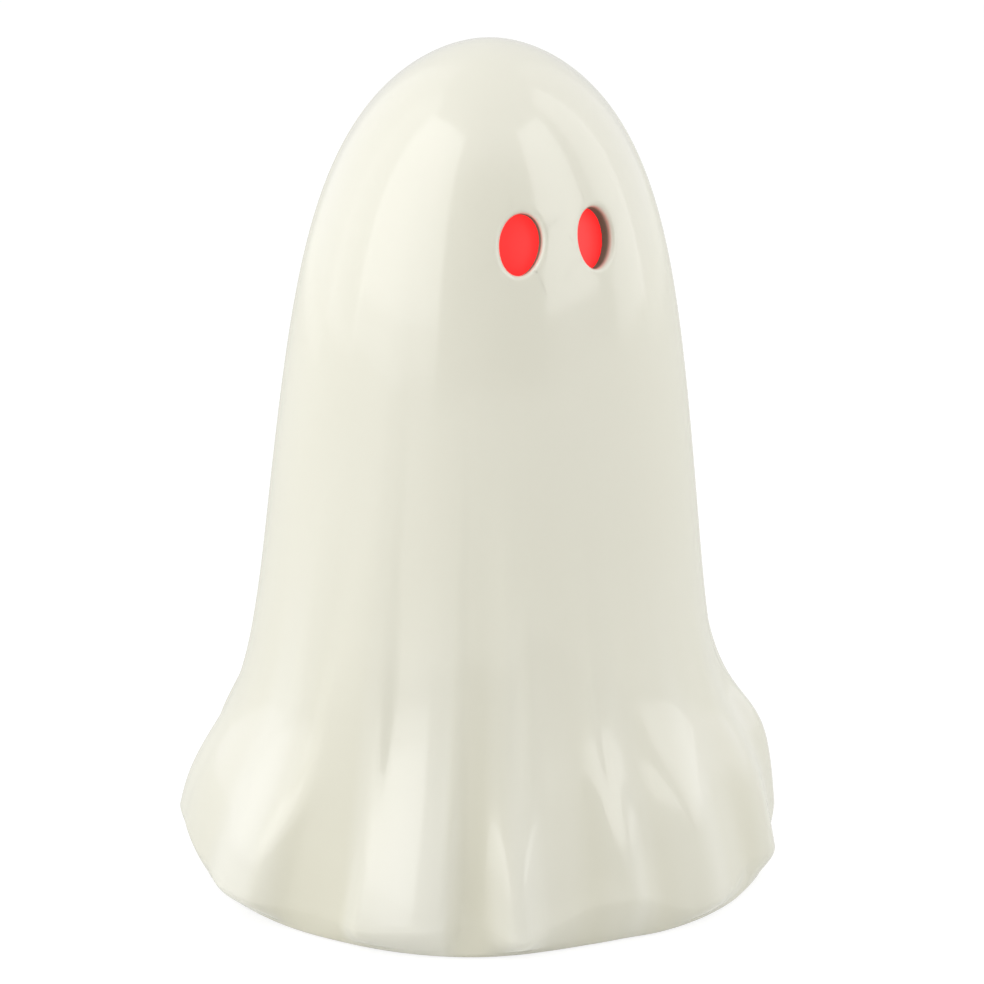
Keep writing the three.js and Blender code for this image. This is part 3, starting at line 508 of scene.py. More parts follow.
def lay_rings(bm, faces, frame_of_hole, half_width, half_height, rings):
    """Takes a window of faces out and lays one ring of faces for each function in rings.

    A ring's function gives a point in the hole's own frame. It takes the turn round the hole, and how far the
    window's edge reached there, in outlines."""
    turn, reach = bm.verts.layers.float["turn"], bm.verts.layers.float["reach"]
    edges = border_of(faces)
    bmesh.ops.delete(bm, geom=faces, context="FACES")
    inwards = frame_of_hole.inverted()
    for vertex in {vertex for edge in edges for vertex in edge.verts}:
        local = inwards @ vertex.co
        across, upward = local.x / half_width, local.y / half_height
        vertex[turn] = math.atan2(upward, across)
        vertex[reach] = math.hypot(across, upward)
    for ring in rings:
        made = bmesh.ops.extrude_edge_only(bm, edges=edges)["geom"]
        for vertex in new_verts(made):
            vertex.co = frame_of_hole @ ring(vertex[turn], vertex[reach])
        edges = open_edges(made)
    return edges


print("ring helper ready")

# %% [markdown]
# An eye hole is an egg, slightly wider above, cut square to the wall where it stands. Its frame has X
# across the eye, Y up it and Z out of the wall. A point of the frame slides along Z until it lies on the
# sheet or under it.

# %% Eye frames
eye_height = 160.9 * mm
eye_spacing = 19 * mm
eye_half_width = 4.8 * mm
eye_half_height = 7.05 * mm
eye_egg = 0.05
eye_roll = math.radians(10.5)
eye_rim = 1.3 * mm


def eye_frame(side):
    angle = side * math.asin(eye_spacing / 2 / skin(0, eye_height)[0])

    def spot(turned, raised):
        return at(angle + turned, *skin(angle + turned, eye_height + raised))

    across = spot(0.01, 0) - spot(-0.01, 0)
    upward = spot(0, 0.5 * mm) - spot(0, -0.5 * mm)
    out = across.cross(upward).normalized()
    right = across.normalized()
    turned = Matrix((right, out.cross(right), out)).transposed().to_4x4()
    return Matrix.Translation(spot(0, 0)) @ turned @ Matrix.Rotation(-eye_roll, 4, "Z")


def slide(place, x, y, depth=0.0):
    """The point at x and y in an eye's frame that lies this deep under the sheet."""
    z = 0.0
    for _ in range(6):
        point = place @ Vector((x, y, z))
        radius, level = skin(0, point.z, depth, 0)
        radius = skin(0, 2 * point.z - level, depth, 0)[0]
        z += radius - math.hypot(point.x, point.y + lean(point.z))
    return Vector((x, y, z))


def egg(turn, offset=0.0):
    """A point of the eye's outline, or of one this far outside it."""
    across, upward = math.cos(turn), math.sin(turn)
    normal = Vector((across / eye_half_width, upward / eye_half_height)).normalized()
    x = eye_half_width * across * (1 + eye_egg * upward) + offset * normal.x
    return x, eye_half_height * upward + offset * normal.y


eyes = {name: eye_frame(side) for name, side in (("left", 1), ("right", -1))}
for name, place in eyes.items():
    print(name, "eye at", [round(value / mm, 1) for value in place.translation])

# %% [markdown]
# Seven rings cross the window, five roll over the rim and three go down the wall. The inner face gets a
# window too, and a bridge joins the two.

# %% Rings of an eye hole
window_half_width = 9.2 * mm
window_half_height = 12.5 * mm
window_search = 3.5 * mm
window_rings = 7
rim_rings = 5


def window_ring(place, share, offset, depth):
    """A ring between the window's edge, at 0, and an outline, at 1, on the sheet or under it."""
    def ring(turn, reach):
        x, y = egg(turn, offset)
        edge_x, edge_y = reach * eye_half_width * math.cos(turn), reach * eye_half_height * math.sin(turn)
        return slide(place, edge_x + (x - edge_x) * share, edge_y + (y - edge_y) * share, depth)
    return ring


def rim_ring(place, roll):
    """The rounded rim, from the sheet, at 0, to the hole's wall, at a quarter turn."""
    def ring(turn, reach):
        x, y = egg(turn, eye_rim * (1 - math.sin(roll)))
        return slide(place, x, y) - Vector((0, 0, eye_rim * (1 - math.cos(roll))))
    return ring


def throat_ring(place, share):
    def ring(turn, reach):
        top = slide(place, *egg(turn)) - Vector((0, 0, eye_rim))
        return top.lerp(slide(place, *egg(turn), wall), share)
    return ring


def eye_window(place, depth):
    """The faces round an eye that lie this deep under the sheet."""
    inwards = place.inverted()
    chosen = []
    for face in ghost.faces:
        spot = inwards @ face.calc_center_median()
        inside = abs(spot.x) < window_half_width and abs(spot.y) < window_half_height
        if inside and abs(spot.z + depth) < window_search:
            if abs(slide(place, spot.x, spot.y, depth).z - spot.z) < wall / 2:
                chosen.append(face)
    return chosen


def shares(count):
    return [(i + 1) / count for i in range(count)]


for place in eyes.values():
    across_sheet = [window_ring(place, share, eye_rim, 0) for share in shares(window_rings)]
    over_rim = [rim_ring(place, share * quarter) for share in shares(rim_rings)]
    down_wall = [throat_ring(place, share) for share in (0.3, 0.6, 0.9)]
    inside = [window_ring(place, share, 0, wall) for share in shares(3)]
    front, back = eye_window(place, 0), eye_window(place, wall)
    print("an eye hole takes the place of", len(front), "faces of the sheet")
    half_sizes = (eye_half_width, eye_half_height)
    outer = lay_rings(ghost, front, place, *half_sizes, across_sheet + over_rim + down_wall)
    inner = lay_rings(ghost, back, place, *half_sizes, inside)
    bmesh.ops.bridge_loops(ghost, edges=outer + inner)

# %% [markdown]
# A pocket needs two rings, the edge of its mouth and that of its floor, and one face to close it.

# %% Pockets in the foot
pad_turns = [math.radians(45 + 90 * i) for i in range(4)]
pocket_floor = pad_height + seat
pocket_window = (5 * mm, 3.8 * mm)


def pad_frame(turn):
    middle = Vector((pad_circle * math.sin(turn), -pad_circle * math.cos(turn), 0))
    return Matrix.Translation(middle) @ Matrix.Rotation(turn, 4, "Z")


def pocket_ring(radius, z):
    return lambda turn, reach: Vector((radius * math.cos(turn), radius * math.sin(turn), z))


for turn in pad_turns:
    place = pad_frame(turn)
    inwards = place.inverted()
    window = []
    for face in ghost.faces:
        spot = inwards @ face.calc_center_median()
        near = abs(spot.x) < pocket_window[0] and abs(spot.y) < pocket_window[1]
        if near and abs(spot.z - foot_low) < 1e-6:
            window.append(face)
    rings = [pocket_ring(pocket_radius, foot_low), pocket_ring(pocket_radius, pocket_floor)]
    floor_edge = lay_rings(ghost, window, place, 1, 1, rings)
    bmesh.ops.contextual_create(ghost, geom=floor_edge)
print(len(ghost.faces), "faces in the body")

# %% [markdown]
# The mesh also carries three values on its vertices, which the material reads. The first is highest in the
# creases and lowest on the crests, and fades out higher up: the creases are painted darker and yellower,
# partly glaze that pooled there and partly painted shade, and the crests lighter as a painted highlight. The
# second marks the foot, where the glaze was wiped off. The third tells how deep a point lies in an eye hole,
# whose wall is painted dark as painted shade.

# %% Marks for the glaze
middle_fold = 1.1 * mm
fold_swing = 1.6 * mm
pooling_and_shade_top = 100 * mm
bare_edge = 0.2 * mm
throat_share = 1.15
throat_search = 8 * mm
pooling_and_shade, bare, throat = (ghost.verts.layers.float[name] for name in ("pooling_and_shade", "bare", "throat"))
for vertex in ghost.verts:
    x, y, z = vertex.co
    angle = math.atan2(x, -(y + lean(z)))
    radius = math.hypot(x, y + lean(z))
    # This value paints the creases darker, partly glaze pooling and partly painted shade, and the crests
    # lighter as a painted highlight, less so higher up.
    stands_out = min(max((next(drape_at(angle, "out")) - middle_fold) / fold_swing, -1), 1)
    vertex[pooling_and_shade] = 0.5 - 0.5 * stands_out * max(1 - z / pooling_and_shade_top, 0)
    vertex[bare] = 1 if z < foot_low + bare_edge or radius < foot_inner and z < floor_top else 0
# How deep a point lies in an eye hole. The glaze uses it to paint the hole's wall dark, as painted shade.
for place in eyes.values():
    inwards = place.inverted()
    for vertex in ghost.verts:
        spot = inwards @ vertex.co
        share = math.hypot(spot.x / eye_half_width, spot.y / eye_half_height)
        if share < throat_share and abs(spot.z) < throat_search:
            depth = slide(place, spot.x, spot.y).z - spot.z
            vertex[throat] = min(max(depth / wall, 0), 1)
print(sum(vertex[bare] for vertex in ghost.verts), "bare vertices")

# %% [markdown]
# A bmesh becomes an object here. It rides on the body that it moves with, so it is in place at every pose.

# %% Finished pieces
def finished(bm, name, body, slot, *materials, crease=35):
    """Makes a bmesh an object that rides on a body, smooth but for edges sharper than the crease."""
    bmesh.ops.recalc_face_normals(bm, faces=bm.faces)
    mesh = bpy.data.meshes.new(name)
    bm.to_mesh(mesh)
    bm.free()
    mesh.shade_smooth()
    mesh.set_sharp_from_angle(angle=math.radians(crease))
    for used in materials:
        mesh.materials.append(used)
    piece = bpy.data.objects.new(name, mesh)
    bpy.context.scene.collection.objects.link(piece)
    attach(piece, body)
    return piece


# %% [markdown]
# ## Glaze
#
# A clear coat lies over a pale colour. It is yellower and darker in the creases, partly glaze that pooled
# there and partly painted shade, and lighter on the lower crests as a painted highlight. Long shallow waves
# bend its reflections, and the bare foot and the eye holes are dull. The walls of the eye holes are painted
# dark as painted shade.

# %% Glaze
def glaze_material():
    made, start = new_material("ivory_glaze")
    cloud = noise(start, 45 * mm, 1)
    even = cloud.blend((0.845, 0.83, 0.725, 1), (0.825, 0.81, 0.695, 1))
    # Painted highlight on the crests and painted shade in the creases, partly glaze pooling as well.
    pooling_and_shade_value = mark(start, "pooling_and_shade")
    thin_glaze_and_highlight = pooling_and_shade_value.band(0.0, 0.5).blend((0.89, 0.88, 0.79, 1), even)
    pooled_and_shaded = pooling_and_shade_value.band(0.5, 1.0).blend(thin_glaze_and_highlight, (0.79, 0.77, 0.64, 1))
    # The walls of the eye holes are painted dark grey-green as painted shade; they are also rougher and have
    # no coat.
    deep = mark(start, "throat").band(0.1, 0.6)
    throat_painted_shade = deep.blend(pooled_and_shaded, (0.15, 0.26, 0.2, 1))
    unglazed = mark(start, "bare").band(0.4, 0.6)
    colour = unglazed.blend(throat_painted_shade, (0.74, 0.70, 0.60, 1))
    rough = 0.34 + 0.44 * unglazed + 0.44 * deep
    waves = noise(start, 22 * mm, 1)
    relief = bumped(start, waves, 0.12 * mm)
    coated = (1 - unglazed) * (1 - deep)
    finish_surface(
        start, Base_Color=colour, Roughness=rough, Normal=relief, Coat_Weight=coated, Coat_Roughness=0.09
    )
    return made


glaze = glaze_material()
ghost_piece = finished(ghost, "ghost_body", "ghost", "glaze", glaze)
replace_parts(ghost_piece, "ghost_shell")
print(len(ghost_piece.data.polygons), "faces in", ghost_piece.name)

# %% [markdown]
# ## Lenses
#
# A red lens lies behind each hole and follows the inside of the sheet. It glows by itself, nearly evenly.

# %% Lenses
lens_lip = 1.2 * mm
lens_thickness = 1.6 * mm


def lens_row(place, share, depth):
    """A row of a lens: its share of the outline, and how deep under the sheet it lies."""
    def row(angle):
        x, y = egg(angle, lens_lip)
        return place @ slide(place, share * x, share * y, depth)
    return row


def lens_mesh(place):
    front, back = wall + seat, wall + seat + lens_thickness
    profile = [(share, front) for share in (0, 0.2, 0.4, 0.6, 0.8, 0.96)]
    profile += [(1, front + 0.2 * mm), (1, back - 0.2 * mm)]
    profile += [(share, back) for share in (0.97, 0.5, 0)]
    return pressed([lens_row(place, share, depth) for share, depth in profile], columns=64)


def lens_material():
    made, start = new_material("lit_red_lens")
    spread_light = noise(start, 9 * mm, 1)
    glow = spread_light.blend((0.96, 0.018, 0.018, 1), (1.0, 0.03, 0.03, 1))
    rough = 0.4 + 0.06 * noise(start, 2 * mm)
    finish_surface(
        start, Base_Color=(0.5, 0.03, 0.03, 1), Roughness=rough, Emission_Color=glow, Emission_Strength=0.97
    )
    return made


red_lens = lens_material()
for name, place in eyes.items():
    lens = finished(lens_mesh(place), "lens_" + name, "ghost", "red_lens", red_lens)
    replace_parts(lens, "eye_lens_" + name)
print("lenses set behind the wall")

# %% [markdown]
# ## Turned pieces
#
# Screws, cells, pads and the soft ring are round, and their makers turn or mould them about an axis.
# Blender's spin operator does the same with a line of vertices. A bevel then takes the sharpness off every
# edge, because no real edge is perfectly sharp, and a small round one catches the light.

# %% Turn and soften
def turned(profile, steps=96):
    """A solid turned about Z from a line of (radius, height) points."""
    bm = bmesh.new()
    spots = [bm.verts.new((radius, 0, z)) for radius, z in profile]
    line = [bm.edges.new(pair) for pair in zip(spots, spots[1:])]
    bmesh.ops.spin(
        bm, geom=spots + line, cent=(0, 0, 0), axis=(0, 0, 1), angle=2 * math.pi, steps=steps,
        use_merge=True,
    )
    bmesh.ops.remove_doubles(bm, verts=bm.verts, dist=1e-6)
    bmesh.ops.recalc_face_normals(bm, faces=bm.faces)
    return bm


def soften(bm, radius, segments=3, sharper_than=30):
    """Rounds the edges that are sharper than an angle in degrees."""
    limit = math.radians(sharper_than)
    edges = [edge for edge in bm.edges if edge.is_manifold and edge.calc_face_angle() > limit]
    bmesh.ops.bevel(
        bm, geom=edges, offset=radius, affect="EDGES", segments=segments, profile=0.5, material=-1,
        clamp_overlap=True,
    )
    return bm


def placed(bm, place):
    """Moves a bmesh to its place on the figure."""
    bmesh.ops.transform(bm, matrix=place, verts=bm.verts)
    return bm


print("turning helpers ready")

# %% [markdown]
# ## Felt pads
#
# Four felt discs let the ceramic stand softly. Felt is pressed wool: it has no weave, but short fibres in
# all directions and a rounded, fuzzy edge. Two sizes of noise make the fibres and the clumps.

# %% Felt pads
def felt_material():
    made, start = new_material("pressed_felt")
    fibres, clumps = noise(start, 0.28 * mm, 6), noise(start, 1.6 * mm, 2)
    fuzz = fibres.band(0.3, 0.7)
    tone = clumps.band(0.3, 0.7).blend((0.64, 0.61, 0.53, 1), (0.56, 0.53, 0.46, 1))
    tone = (0.35 * fuzz).blend(tone, (0.74, 0.72, 0.65, 1))
    relief = bumped(start, 0.7 * fuzz + 0.3 * clumps, 0.16 * mm)
    finish_surface(start, Base_Color=tone, Roughness=0.86 + 0.1 * fuzz, Normal=relief)
    return made


felt = felt_material()
for number, turn in enumerate(pad_turns, 1):
    pad = turned([(0, 0), (pad_radius, 0), (pad_radius, pad_height), (0, pad_height)], steps=64)
    pad = placed(soften(pad, 0.3 * mm), pad_frame(turn))
    piece = finished(pad, f"felt_pad_{number}", "ghost", "felt", felt)
    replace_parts(piece, f"foot_pad_{number}")
print(len(pad_turns), "felt pads")

# %% [markdown]
# ## The soft ring
#
# A ring of pale silicone grips the edge of the base hole, and the lamp module is pushed up into it. Its
# section is an H lying down, turned once round. Silicone picks up dust, so its finish is matt with fine
# paler specks.

# %% Soft ring
ring_wall = 1.4 * mm
ring_inner = base_hole - seat - ring_wall
ring_groove = base_hole - seat
ring_reach = base_hole + soft_ring_lip


def soft_ring_material():
    made, start = new_material("pale_silicone")
    dust, cloud = noise(start, 0.22 * mm, 4), noise(start, 12 * mm, 2)
    tone = cloud.band(0.3, 0.7).blend((0.70, 0.70, 0.67, 1), (0.65, 0.65, 0.62, 1))
    tone = (0.5 * dust.band(0.58, 0.72)).blend(tone, (0.82, 0.81, 0.78, 1))
    relief = bumped(start, dust, 0.03 * mm)
    finish_surface(start, Base_Color=tone, Roughness=0.55 + 0.2 * cloud, Normal=relief)
    return made


low, high = floor_under - seat, floor_top + seat
ring_section = [
    (ring_inner, low - ring_wall), (ring_reach, low - ring_wall), (ring_reach, low), (ring_groove, low),
    (ring_groove, high), (ring_reach, high), (ring_reach, high + ring_wall), (ring_inner, high + ring_wall),
]
ring = soften(turned(ring_section + ring_section[:1], steps=160), 0.35 * mm)
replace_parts(finished(ring, "soft_ring", "ghost", "soft_ring", soft_ring_material()), "base_grommet")
print("soft ring, inner radius", round(ring_inner / mm, 2), "mm")

# %% [markdown]
# ## Moulded plastic
#
# The module's housing, door and knob are injection moulded. Their CAD shapes are right but knife-edged, so
# each gets a merged copy whose edges are rounded. The mould's spark-eroded skin gives a fine, even grain,
# and handling leaves faint long scuffs, which are a stretched noise.

# %% Softened copies
def softened_copy(node, radius):
    """A node's mesh, merged, without its flat faces' diagonals and with its edges rounded."""
    bm = bmesh.new()
    bm.from_mesh(nodes[node].data)
    bmesh.ops.remove_doubles(bm, verts=bm.verts, dist=2e-6)
    bmesh.ops.dissolve_limit(bm, angle_limit=math.radians(1), verts=bm.verts, edges=bm.edges)
    return soften(bm, radius, segments=2)


def moulded(name, colour, worn, rough):
    """A moulded plastic with a fine grain and faint scuffs, which show the worn colour."""
    made, start = new_material(name)
    grain, cloud = noise(start, 0.3 * mm, 3), noise(start, 16 * mm, 2)
    turn = {"Vector": place_on(start), "Rotation": (0, 0, 0.6), "Scale": (1, 7, 7)}
    stretched = start.node("Mapping", (), turn)
    streaks = start.node("TexNoise", (), {"Vector": stretched, "Scale": 1 / (9 * mm), "Detail": 3.0})
    scuffs = streaks.band(0.66, 0.74)
    tone = (0.25 * cloud + 0.3 * scuffs).blend(colour, worn)
    finish_surface(
        start, Base_Color=tone, Roughness=rough + 0.1 * cloud + 0.12 * scuffs,
        Normal=bumped(start, grain, 0.018 * mm),
    )
    return made


white_plastic = moulded("moulded_white", (0.81, 0.79, 0.73, 1), (0.7, 0.67, 0.6, 1), 0.42)
black_plastic = moulded("moulded_black", (0.028, 0.028, 0.03, 1), (0.075, 0.075, 0.078, 1), 0.4)
moulded_pieces = [
    ("module_housing", "lamp_housing", "ghost", "white_plastic", white_plastic, 0.22 * mm),
    ("battery_door", "hinged_door", "door", "white_plastic", white_plastic, 0.2 * mm),
    ("switch_knob", "slide_knob", "knob", "black_plastic", black_plastic, 0.12 * mm),
]
for node, name, body, slot, plastic, radius in moulded_pieces:
    piece = finished(softened_copy(node, radius), name, body, slot, plastic, crease=50)
    piece.modifiers.new("flat_faces_stay_flat", "WEIGHTED_NORMAL").keep_sharp = True
    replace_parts(piece, node)
    print(name, len(piece.data.polygons), "faces")

# %% [markdown]
# ## Screws
#
# A pan head screw with a cross recess. The recess is an outline inside the head's face: the ring between
# the two loops is bridged, the cross is pushed in, and the head and the threaded shank grow from the outer
# loop.

# %% Metal and screws
def plated(name, colour, dull, rough):
    """Nickel plated steel: bright, with drawn lines and slightly duller clouds."""
    made, start = new_material(name)
    cloud = noise(start, 2.5 * mm, 3)
    drawn = start.node("Mapping", (), {"Vector": place_on(start), "Scale": (1, 25, 25)})
    lines = start.node("TexNoise", (), {"Vector": drawn, "Scale": 1 / (3 * mm), "Detail": 4.0})
    tone = cloud.band(0.35, 0.75).blend(colour, dull)
    finish_surface(
        start, Base_Color=tone, Metallic=1.0, Roughness=rough + 0.14 * cloud + 0.08 * lines,
        Normal=bumped(start, lines, 0.006 * mm),
    )
    return made


steel = plated("nickel_plated_steel", (0.66, 0.65, 0.62, 1), (0.5, 0.49, 0.47, 1), 0.2)
screw_head = 2.6 * mm
screw_head_height = 1.3 * mm
screw_shank = 1.15 * mm
thread_pitch = 0.6 * mm
cross_half = 0.3 * mm
cross_reach = 1.43 * mm
cross_depth = 0.75 * mm


def grown(bm, edges, stations):
    """Grows a loop through (radius, height) stations about Z and returns its last edges."""
    for radius, z in stations:
        made = bmesh.ops.extrude_edge_only(bm, edges=edges)["geom"]
        for vertex in new_verts(made):
            vertex.co = Vector((vertex.co.x, vertex.co.y, 0)).normalized() * radius + Vector((0, 0, z))
        edges = open_edges(made)
    return edges


def screw_mesh(length):
    """A screw that stands on its head at Z = 0, with its shank up."""
    bm = bmesh.new()
    corner, arm = cross_half, cross_reach
    outline = []
    for quarter_turns in range(4):
        turn = Matrix.Rotation(quarter_turns * quarter, 3, "Z")
        corners_of_arm = ((corner, -corner, 0), (arm, -corner, 0), (arm, corner, 0))
        outline += [turn @ Vector(spot) for spot in corners_of_arm]
    cross = [bm.verts.new(spot) for spot in outline]
    cross_edges = [bm.edges.new(pair) for pair in zip(cross, cross[1:] + cross[:1])]
    rounding = 0.4 * screw_head_height
    circle = bmesh.ops.create_circle(bm, segments=48, radius=screw_head - rounding)["verts"]
    rim = list({edge for vertex in circle for edge in vertex.link_edges})
    bmesh.ops.bridge_loops(bm, edges=cross_edges + rim)
    sunk = bmesh.ops.extrude_edge_only(bm, edges=cross_edges)["geom"]
    bmesh.ops.translate(bm, verts=new_verts(sunk), vec=(0, 0, cross_depth))
    bmesh.ops.contextual_create(bm, geom=open_edges(sunk))
    stations = [
        (screw_head - rounding * (1 - math.sin(roll)), rounding * (1 - math.cos(roll)))
        for roll in (quarter / 3, 2 * quarter / 3, quarter)
    ]
    stations += [(screw_head, screw_head_height), (screw_shank, screw_head_height)]
    threads = int((length - screw_head_height - 2 * screw_shank) / thread_pitch)
    for i in range(threads):
        z = screw_head_height + (i + 0.5) * thread_pitch
        stations += [(0.82 * screw_shank, z), (screw_shank, z + thread_pitch / 2)]
    stations += [(0.75 * screw_shank, length - screw_shank), (0.15 * screw_shank, length)]
    end = grown(bm, rim, stations)
    bmesh.ops.contextual_create(bm, geom=end)
    return bm


screw_names = ["door_screw"] + [f"cap_screw_{i + 1}" for i in range(3)]
for node in screw_names:
    low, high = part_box(node)
    on_door = node == "door_screw"
    spot = Vector(((low.x + high.x) / 2, (low.y + high.y) / 2, low.z if on_door else high.z))
    place = Matrix.Translation(spot) @ Matrix.Rotation(0 if on_door else math.pi, 4, "X")
    screw = placed(screw_mesh(high.z - low.z), place)
    body = "door" if on_door else "ghost"
    piece = finished(screw, node.replace("screw", "cross_screw"), body, "steel", steel)
    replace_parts(piece, node)
print(len(screw_names), "screws")

# %% [markdown]
# ## Battery cells
#
# Three AAA cells show when the door is open. A cell is a steel can in a shrunk film: the film's ends curl
# over the can's edges, a rolled groove shows through it below the cap, and bare steel shows at both ends.
# Each vertex carries how far along the cell it lies, so the film's band follows the cell whichever way
# round it is put in.

# %% Cells
cell_length = 44.5 * mm
film_ends = 3.85 * mm
cell_profile = [
    (0, 0.1), (3.5, 0.1), (3.7, 0), (4.4, 0), (4.95, 0.2), (5.25, 0.75), (5.25, 40.3), (4.95, 40.8),
    (5.25, 41.3), (5.25, 42.8), (5, 43.25), (4.5, 43.45), (3.95, 43.45), (3.75, 43.1), (2.4, 43.1),
    (2.15, 43.4), (1.9, 43.5), (1.9, 44.25), (1.65, 44.5), (0, 44.5),
]


def film_material():
    made, start = new_material("shrunk_film")
    along = mark(start, "along")
    cloud, ripples = noise(start, 7 * mm, 2), noise(start, 1.1 * mm, 2)
    tone = cloud.blend((0.045, 0.046, 0.052, 1), (0.06, 0.06, 0.068, 1))
    band = along.band(0.752, 0.756) * (1 - along.band(0.782, 0.786))
    tone = band.blend(tone, (0.62, 0.61, 0.58, 1))
    tone = along.band(0.802, 0.806).blend(tone, (0.16, 0.165, 0.18, 1))
    relief = bumped(start, ripples, 0.02 * mm)
    finish_surface(start, Base_Color=tone, Roughness=0.26 + 0.1 * cloud, Normal=relief)
    return made


film = film_material()
for number in (1, 2, 3):
    low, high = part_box(f"aaa_cell_{number}")
    cell = turned([(radius * mm, z * mm) for radius, z in cell_profile], steps=72)
    along = cell.verts.layers.float.new("along")
    for vertex in cell.verts:
        vertex[along] = vertex.co.z / cell_length
    for face in cell.faces:
        middle = face.calc_center_median()
        face.material_index = 1 if math.hypot(middle.x, middle.y) < film_ends else 0
    forwards = number != 2
    spot = Vector((low.x if forwards else high.x, (low.y + high.y) / 2, (low.z + high.z) / 2))
    place = Matrix.Translation(spot) @ Matrix.Rotation(quarter if forwards else -quarter, 4, "Y")
    piece = finished(placed(cell, place), f"cell_{number}", "ghost", "cell_wrap", film, steel, crease=50)
    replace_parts(piece, f"aaa_cell_{number}")
print("cells laid side by side, the middle one turned round")

# %% [markdown]
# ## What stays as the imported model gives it
#
# The lamp cups, LEDs, leads, board and contacts have the right shape already. They are mostly out of sight,
# but each still gets the finish of its real material: lacquer with colour rings, solder resist over glass
# cloth, PVC, epoxy.

# %% Finishes of the inner pieces
def board_material():
    made, start = new_material("solder_resist")

    def threads(way):
        settings = {"wave_type": "BANDS", "bands_direction": way}
        return start.node("TexWave", settings, {"Vector": place_on(start), "Scale": 0.35 / mm}, out="Fac")

    cloth = 0.5 * threads("X") + 0.5 * threads("Y")
    tone = cloth.blend((0.022, 0.12, 0.042, 1), (0.034, 0.155, 0.06, 1))
    relief = bumped(start, cloth, 0.01 * mm)
    finish_surface(start, Base_Color=tone, Roughness=0.3 + 0.12 * cloth, Normal=relief)
    return made


def resistor_material():
    made, start = new_material("lacquer_with_rings")
    spots = start.node("SeparateXYZ", (), {"Vector": place_on(start)})
    across = spots.math("ABSOLUTE", spots) * 1000 - 14
    rings = [
        (-1.2, (0.2, 0.06, 0.03, 1)), (-0.3, (0.02, 0.02, 0.02, 1)),
        (0.6, (0.5, 0.03, 0.02, 1)), (2.1, (0.5, 0.38, 0.1, 1)),
    ]
    tone = noise(start, 2 * mm, 2).blend((0.66, 0.47, 0.24, 1), (0.74, 0.54, 0.29, 1))
    for middle, colour in rings:
        starts, ends = across.band(middle - 0.2, middle - 0.15), across.band(middle + 0.15, middle + 0.2)
        tone = (starts * (1 - ends)).blend(tone, colour)
    finish_surface(start, Base_Color=tone, Roughness=0.35 + 0.1 * noise(start, 1 * mm, 2))
    return made


def led_material():
    made, start = new_material("lit_epoxy")
    cloud = noise(start, 2.5 * mm, 2)
    glow = cloud.blend((1.0, 0.04, 0.03, 1), (1.0, 0.10, 0.06, 1))
    finish_surface(
        start, Base_Color=(0.6, 0.03, 0.03, 1), Roughness=0.12 + 0.1 * cloud, Emission_Color=glow,
        Emission_Strength=1.0,
    )
    return made


def sheath_material():
    made, start = new_material("red_sheath")
    cloud, grain = noise(start, 3 * mm, 2), noise(start, 0.25 * mm, 2)
    tone = cloud.blend((0.4, 0.018, 0.018, 1), (0.47, 0.03, 0.027, 1))
    relief = bumped(start, grain, 0.015 * mm)
    finish_surface(start, Base_Color=tone, Roughness=0.42 + 0.14 * cloud, Normal=relief)
    return made


chip_plastic = moulded("moulded_component", (0.03, 0.03, 0.032, 1), (0.06, 0.06, 0.062, 1), 0.5)
finish_of = {
    "red_lens": led_material(), "black_plastic": black_plastic, "lead_sheath": sheath_material(),
    "resistor": resistor_material(), "white_plastic": white_plastic, "board": board_material(),
    "component": chip_plastic, "steel": steel,
}
slot_of = {part["node"]: part["material_slot"] for part in frame["record"]["subparts"]}
kept = [name for name, node in nodes.items() if not node.hide_render]
for name in kept:
    for place in nodes[name].material_slots:
        place.material = finish_of[slot_of[name]]
print(len(kept), "pieces stay as they are:", ", ".join(kept))

# %% [markdown]
# ## Floor and lamps
#
# The photograph's background is white, so the floor glows for the camera and keeps only a faint shadow.

# %% Floor
floor_reach = 6
floor_mesh = bmesh.new()
bmesh.ops.create_grid(floor_mesh, x_segments=1, y_segments=1, size=floor_reach)
floor_data = bpy.data.meshes.new("floor")
floor_mesh.to_mesh(floor_data)
floor_mesh.free()
floor = bpy.data.objects.new("floor", floor_data)
bpy.context.scene.collection.objects.link(floor)


def floor_material():
    """White to the camera, but for a faint shadow, and clear from below."""
    made, start = new_material("white_floor")
    path = start.node("LightPath", out="Is Camera Ray")
    matt = start.node("BsdfDiffuse", (), {"Color": (0.8, 0.8, 0.79, 1)})
    glow = start.node("Emission", (), {"Color": (1, 1, 1, 1), "Strength": 1.2})
    shown = start.node("MixShader", (), {0: 0.7, 1: matt, 2: glow})
    glossy = start.node("LightPath", out="Is Glossy Ray")
    mirrored = start.node("Emission", (), {"Color": (0.76, 0.76, 0.7, 1)})
    top = start.node("MixShader", (), {0: path, 1: matt, 2: shown})
    top = start.node("MixShader", (), {0: glossy, 1: top, 2: mirrored})
    clear = start.node("BsdfTransparent")
    below = start.node("NewGeometry", out="Backfacing")
    both = start.node("MixShader", (), {0: below, 1: top, 2: clear})
    end = start.tree.nodes.new("ShaderNodeOutputMaterial")
    start.tree.links.new(both.socket, end.inputs["Surface"])
    return made


floor_data.materials.append(floor_material())
print("floor laid")

# %% [markdown]
# The glaze mirrors what stands round it. Two tall panels make the long highlights on the head, and weaker
# ones beside them lighten the edges.

# %% Lamps
def softbox(name, turn, width, bottom, top, distance, brightness):
    """A tall soft panel. Brightness is what a mirror would show of it, where white paper shows 1."""
    data = bpy.data.lights.new(name, "AREA")
    data.shape = "RECTANGLE"
    data.size = width
    data.size_y = top - bottom
    data.energy = brightness * math.pi * width * (top - bottom)
    lamp = bpy.data.objects.new(name, data)
    way = direction(turn, 0)
    lamp.location = distance * way + Vector((0, 0, (bottom + top) / 2))
    lamp.rotation_euler = way.to_track_quat("Z", "Y").to_euler()
    bpy.context.scene.collection.objects.link(lamp)


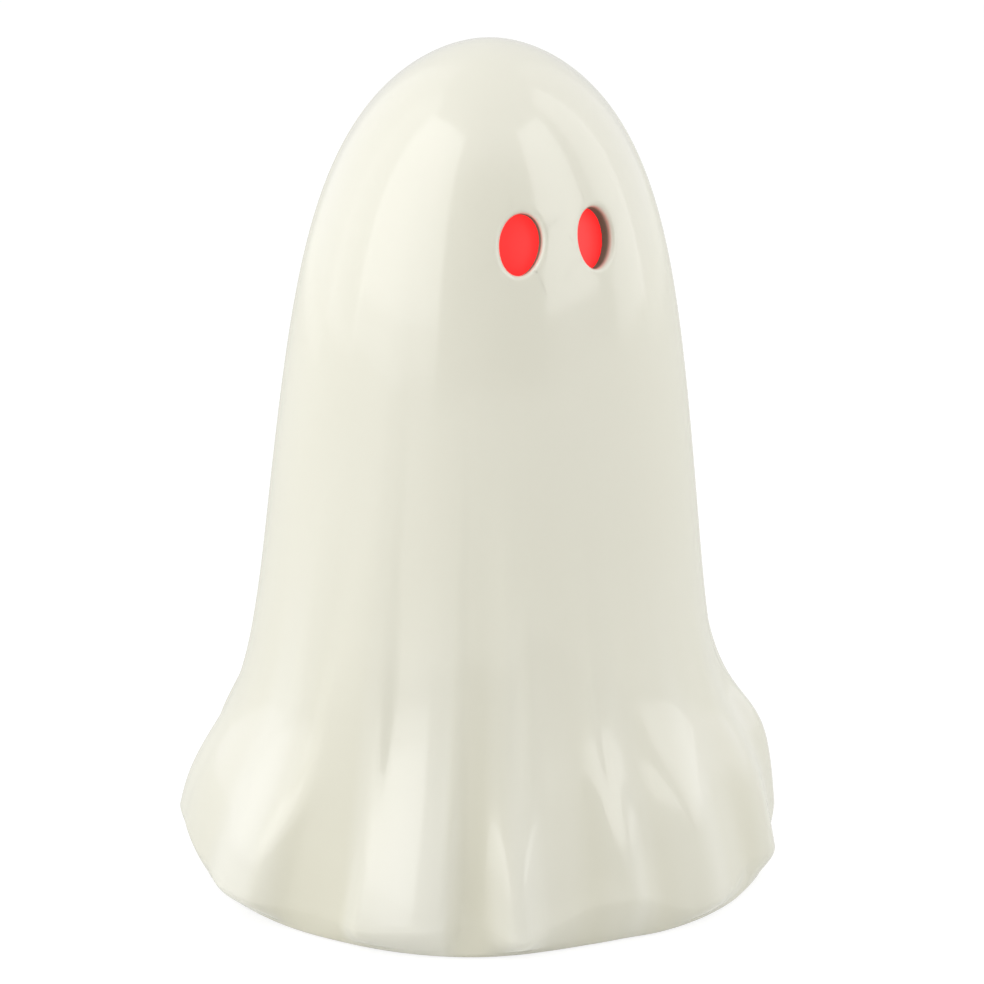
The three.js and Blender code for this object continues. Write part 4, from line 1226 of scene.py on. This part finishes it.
panel_distance = 1.2
panels = [
    # name, degrees from the camera towards the figure's left, width, bottom, top, brightness
    ("key", -55, 1.25, 0.24, 2.1, 1.7),
    ("key_low", -55, 1.25, 0.12, 0.24, 0.9),
    ("key_wrap", -95, 0.6, 0.1, 2.5, 0.65),
    ("key_rim", -130, 0.9, 0.02, 2.5, 0.28),
    ("fill", 54, 0.8, 0.24, 2.05, 1.4),
    ("fill_wrap", 98, 0.6, 0.1, 2.5, 0.85),
    ("fill_rim", 130, 0.9, 0.02, 2.5, 0.22),
]
for name, turn, width, bottom, top, brightness in panels:
    softbox(name, camera_turn + math.radians(turn), width, bottom, top, panel_distance, brightness)
print(len(panels), "soft panels")

# %% [markdown]
# ## The studio round it
#
# The rest of the studio is the world's own light: bright walls on both sides, a paler ceiling, and the
# dimmer room behind the camera, which the front of the glaze mirrors. The camera itself sees plain white.

# %% World
world = bpy.data.worlds.new("studio")
bpy.context.scene.world = world
world.use_nodes = True
world.node_tree.nodes.clear()
sky = Wire(world.node_tree)
way = sky.node("TexCoord", out="Generated")
level = sky.node("VectorMath", {"operation": "MULTIPLY"}, {0: way, 1: (1, 1, 0)}, out="Vector")
level = sky.node("VectorMath", {"operation": "NORMALIZE"}, {0: level}, out="Vector")
ahead = direction(camera_turn, 0)
facing = sky.node("VectorMath", {"operation": "DOT_PRODUCT"}, {0: level, 1: ahead}, out="Value")
up = sky.node("VectorMath", {"operation": "DOT_PRODUCT"}, {0: way, 1: (0, 0, 1)}, out="Value")
walls = facing.band(-0.35, 0.05).blend((0.74, 0.74, 0.74, 1), (0.46, 0.46, 0.45, 1))
room = facing.band(0.6, 0.95).blend(walls, (0.1, 0.096, 0.06, 1))
studio = up.band(0.55, 0.85).blend(room, (0.72, 0.72, 0.73, 1))
seen = sky.node("LightPath", out="Is Camera Ray")
shown = seen.blend(studio, (1, 1, 1, 1))
background = sky.node("Background", (), {"Color": shown, "Strength": 1.0})
world_end = world.node_tree.nodes.new("ShaderNodeOutputWorld")
world.node_tree.links.new(background.socket, world_end.inputs["Surface"])
bpy.context.scene.view_settings.view_transform = "Standard"
